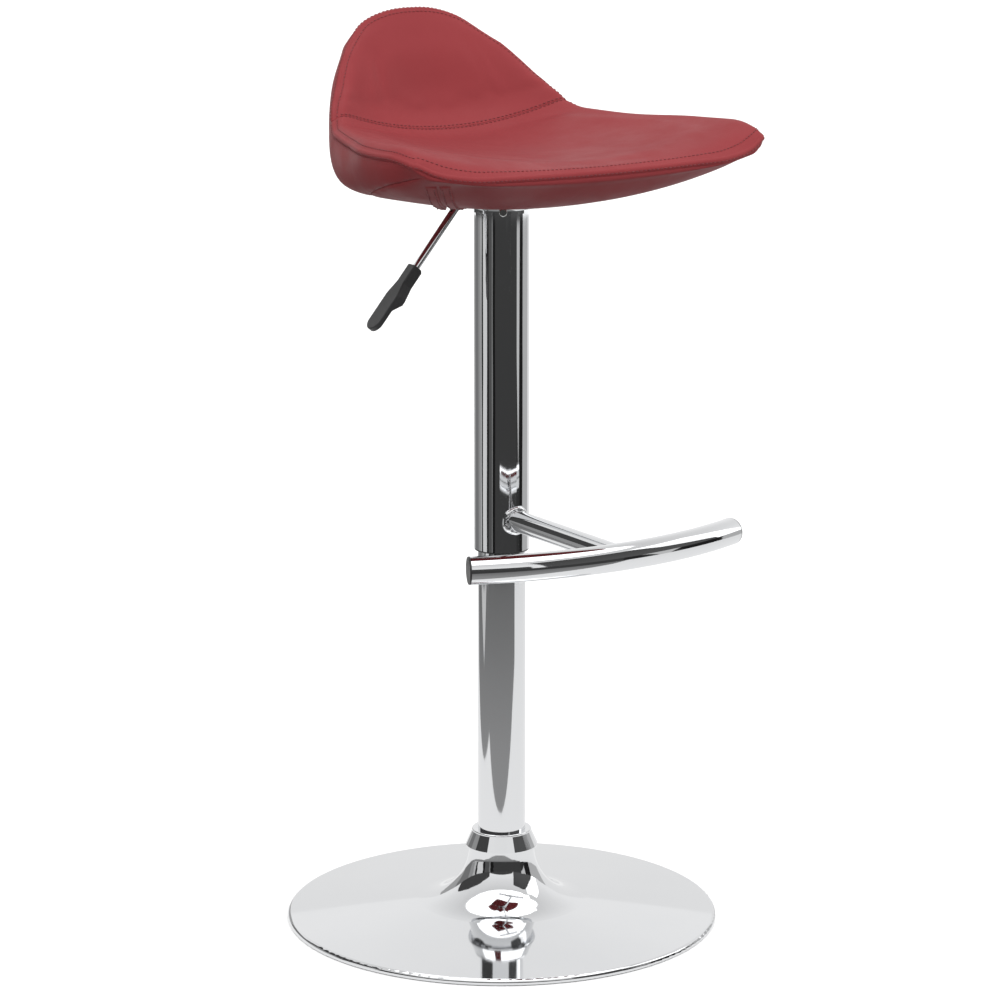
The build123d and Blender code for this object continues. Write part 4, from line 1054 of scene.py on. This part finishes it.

# Painted shade for the seat's underside: a glowing grey card just above the white floor. It is seen only by
# light bouncing up to dull surfaces, so the underside gets less light than the white floor would give.
underside_shade_greys = [(0.0, 0.44), (0.1, 0.42), (0.4, 0.36), (1.0, 0.30)]
bounce = glow_finish("painted_underside_shade", underside_shade_greys, "distance", one_sided=True)
underside_shade_card = flat_card("underside_shade_card", [bearing(a, 2.6, 0.0003) for a in range(0, 360, 30)], bounce)
hidden(underside_shade_card, True)
underside_shade_card.visible_glossy = False
near_white = [(0.0, 0.96), (0.06, 0.95), (0.16, 0.92), (0.3, 0.86)]
pale_floor = glow_finish("pale_floor", near_white, "distance", one_sided=True)
hidden(flat_card("pale_floor", [bearing(a, 1.36, 0.0004) for a in range(0, 360, 15)], pale_floor), False)

# Bearing from the camera's side, in degrees, and grey from there to the next
bands = [(-180, 0.88), (-158, 0.40), (-140, 0.20), (-112, 0.32), (-98, 0.50), (-90, 0.03),
         (-83, 0.72), (-64, 0.015), (-55, 0.09), (-42, 0.22), (-37, 0.012), (-28, 0.050),
         (60, 0.02), (66, 0.035), (80, 0.015), (97, 0.50), (135, 0.88)]
screens = glow_finish("screens", [((a + 180) / 360, grey) for a, grey in bands], "bearing")
mesh = bpy.data.meshes.new("screens")
ring = [(SCREEN_RADIUS * math.cos(a), SCREEN_RADIUS * math.sin(a))
        for a in np.linspace(0, 2 * math.pi, SCREEN_COUNT, endpoint=False)]
following = [(k + 1) % SCREEN_COUNT for k in range(SCREEN_COUNT)]
mesh.from_pydata([(x, y, z) for z in (0.0, SCREEN_HEIGHT) for x, y in ring], [],
                 [(k, n, SCREEN_COUNT + n, SCREEN_COUNT + k) for k, n in enumerate(following)])
mesh.materials.append(screens)
standing = bpy.data.objects.new("screens", mesh)
standing.rotation_euler.z = CAMERA_BEARING
bpy.context.scene.collection.objects.link(standing)
hidden(standing, False)


def softbox(name, at, width, height, power):
    """Lamp behind a sheet, aimed at the middle of the stool."""
    light = bpy.data.lights.new(name, "AREA")
    light.shape = "RECTANGLE"
    light.size, light.size_y, light.energy = width, height, power
    lamp = bpy.data.objects.new(name, light)
    lamp.location = at
    lamp.rotation_euler = (Vector((0, 0, 0.45)) - Vector(at)).to_track_quat("-Z", "Y").to_euler()
    bpy.context.scene.collection.objects.link(lamp)


softbox("right_side", on_floor(-0.3, 2.3, 1.5), 1.2, 1.8, 9)


def broad_light(name, ahead, aside, height, power, angle):
    """Even light from one side of the sky."""
    light = bpy.data.lights.new(name, "SUN")
    light.energy, light.angle = power, math.radians(angle)
    lamp = bpy.data.objects.new(name, light)
    lamp.location = on_floor(ahead, aside, height)
    lamp.rotation_euler = (-lamp.location).to_track_quat("-Z", "Y").to_euler()
    bpy.context.scene.collection.objects.link(lamp)
    return lamp


broad_light("ceiling", 0.0, 0.0, 3.0, 1.5, 70)
broad_light("front", 2.4, 0.3, 1.7, 1.1, 60).visible_glossy = False

world = bpy.data.worlds.new("studio")
world.use_nodes = True
bpy.context.scene.world = world
tree = world.node_tree
ramp = tree.nodes.new("ShaderNodeValToRGB")
ramp.color_ramp.elements[0].position = 0.0
ramp.color_ramp.elements[0].color = (0.8, 0.8, 0.8, 1)
ramp.color_ramp.elements[1].position = 1.0
ramp.color_ramp.elements[1].color = (0.6, 0.6, 0.6, 1)
for position, grey in ((0.5, 0.98), (0.7, 0.95), (0.85, 0.8)):
    stop = ramp.color_ramp.elements.new(position)
    stop.color = (grey, grey, grey, 1)
coords = tree.nodes.new("ShaderNodeTexCoord")
split = tree.nodes.new("ShaderNodeSeparateXYZ")
level = tree.nodes.new("ShaderNodeMapRange")
level.inputs["From Min"].default_value = -1
tree.links.new(coords.outputs["Generated"], split.inputs["Vector"])
tree.links.new(split.outputs["Z"], level.inputs["Value"])
tree.links.new(level.outputs["Result"], ramp.inputs["Fac"])
tree.links.new(ramp.outputs["Color"], tree.nodes["Background"].inputs["Color"])
bpy.context.scene.view_settings.view_transform = "Standard"

lens = bpy.data.cameras.new("camera")
lens.sensor_width = 36.0
lens.lens = 135.509
lens.shift_x = -0.0016
camera = bpy.data.objects.new("camera", lens)
camera.location = toward * CAMERA_REACH + Vector((0, 0, CAMERA_HEIGHT))
camera.rotation_euler = (math.pi / 2 - CAMERA_PITCH, 0, math.atan2(toward.x, -toward.y))
bpy.context.scene.collection.objects.link(camera)
bpy.context.scene.camera = camera
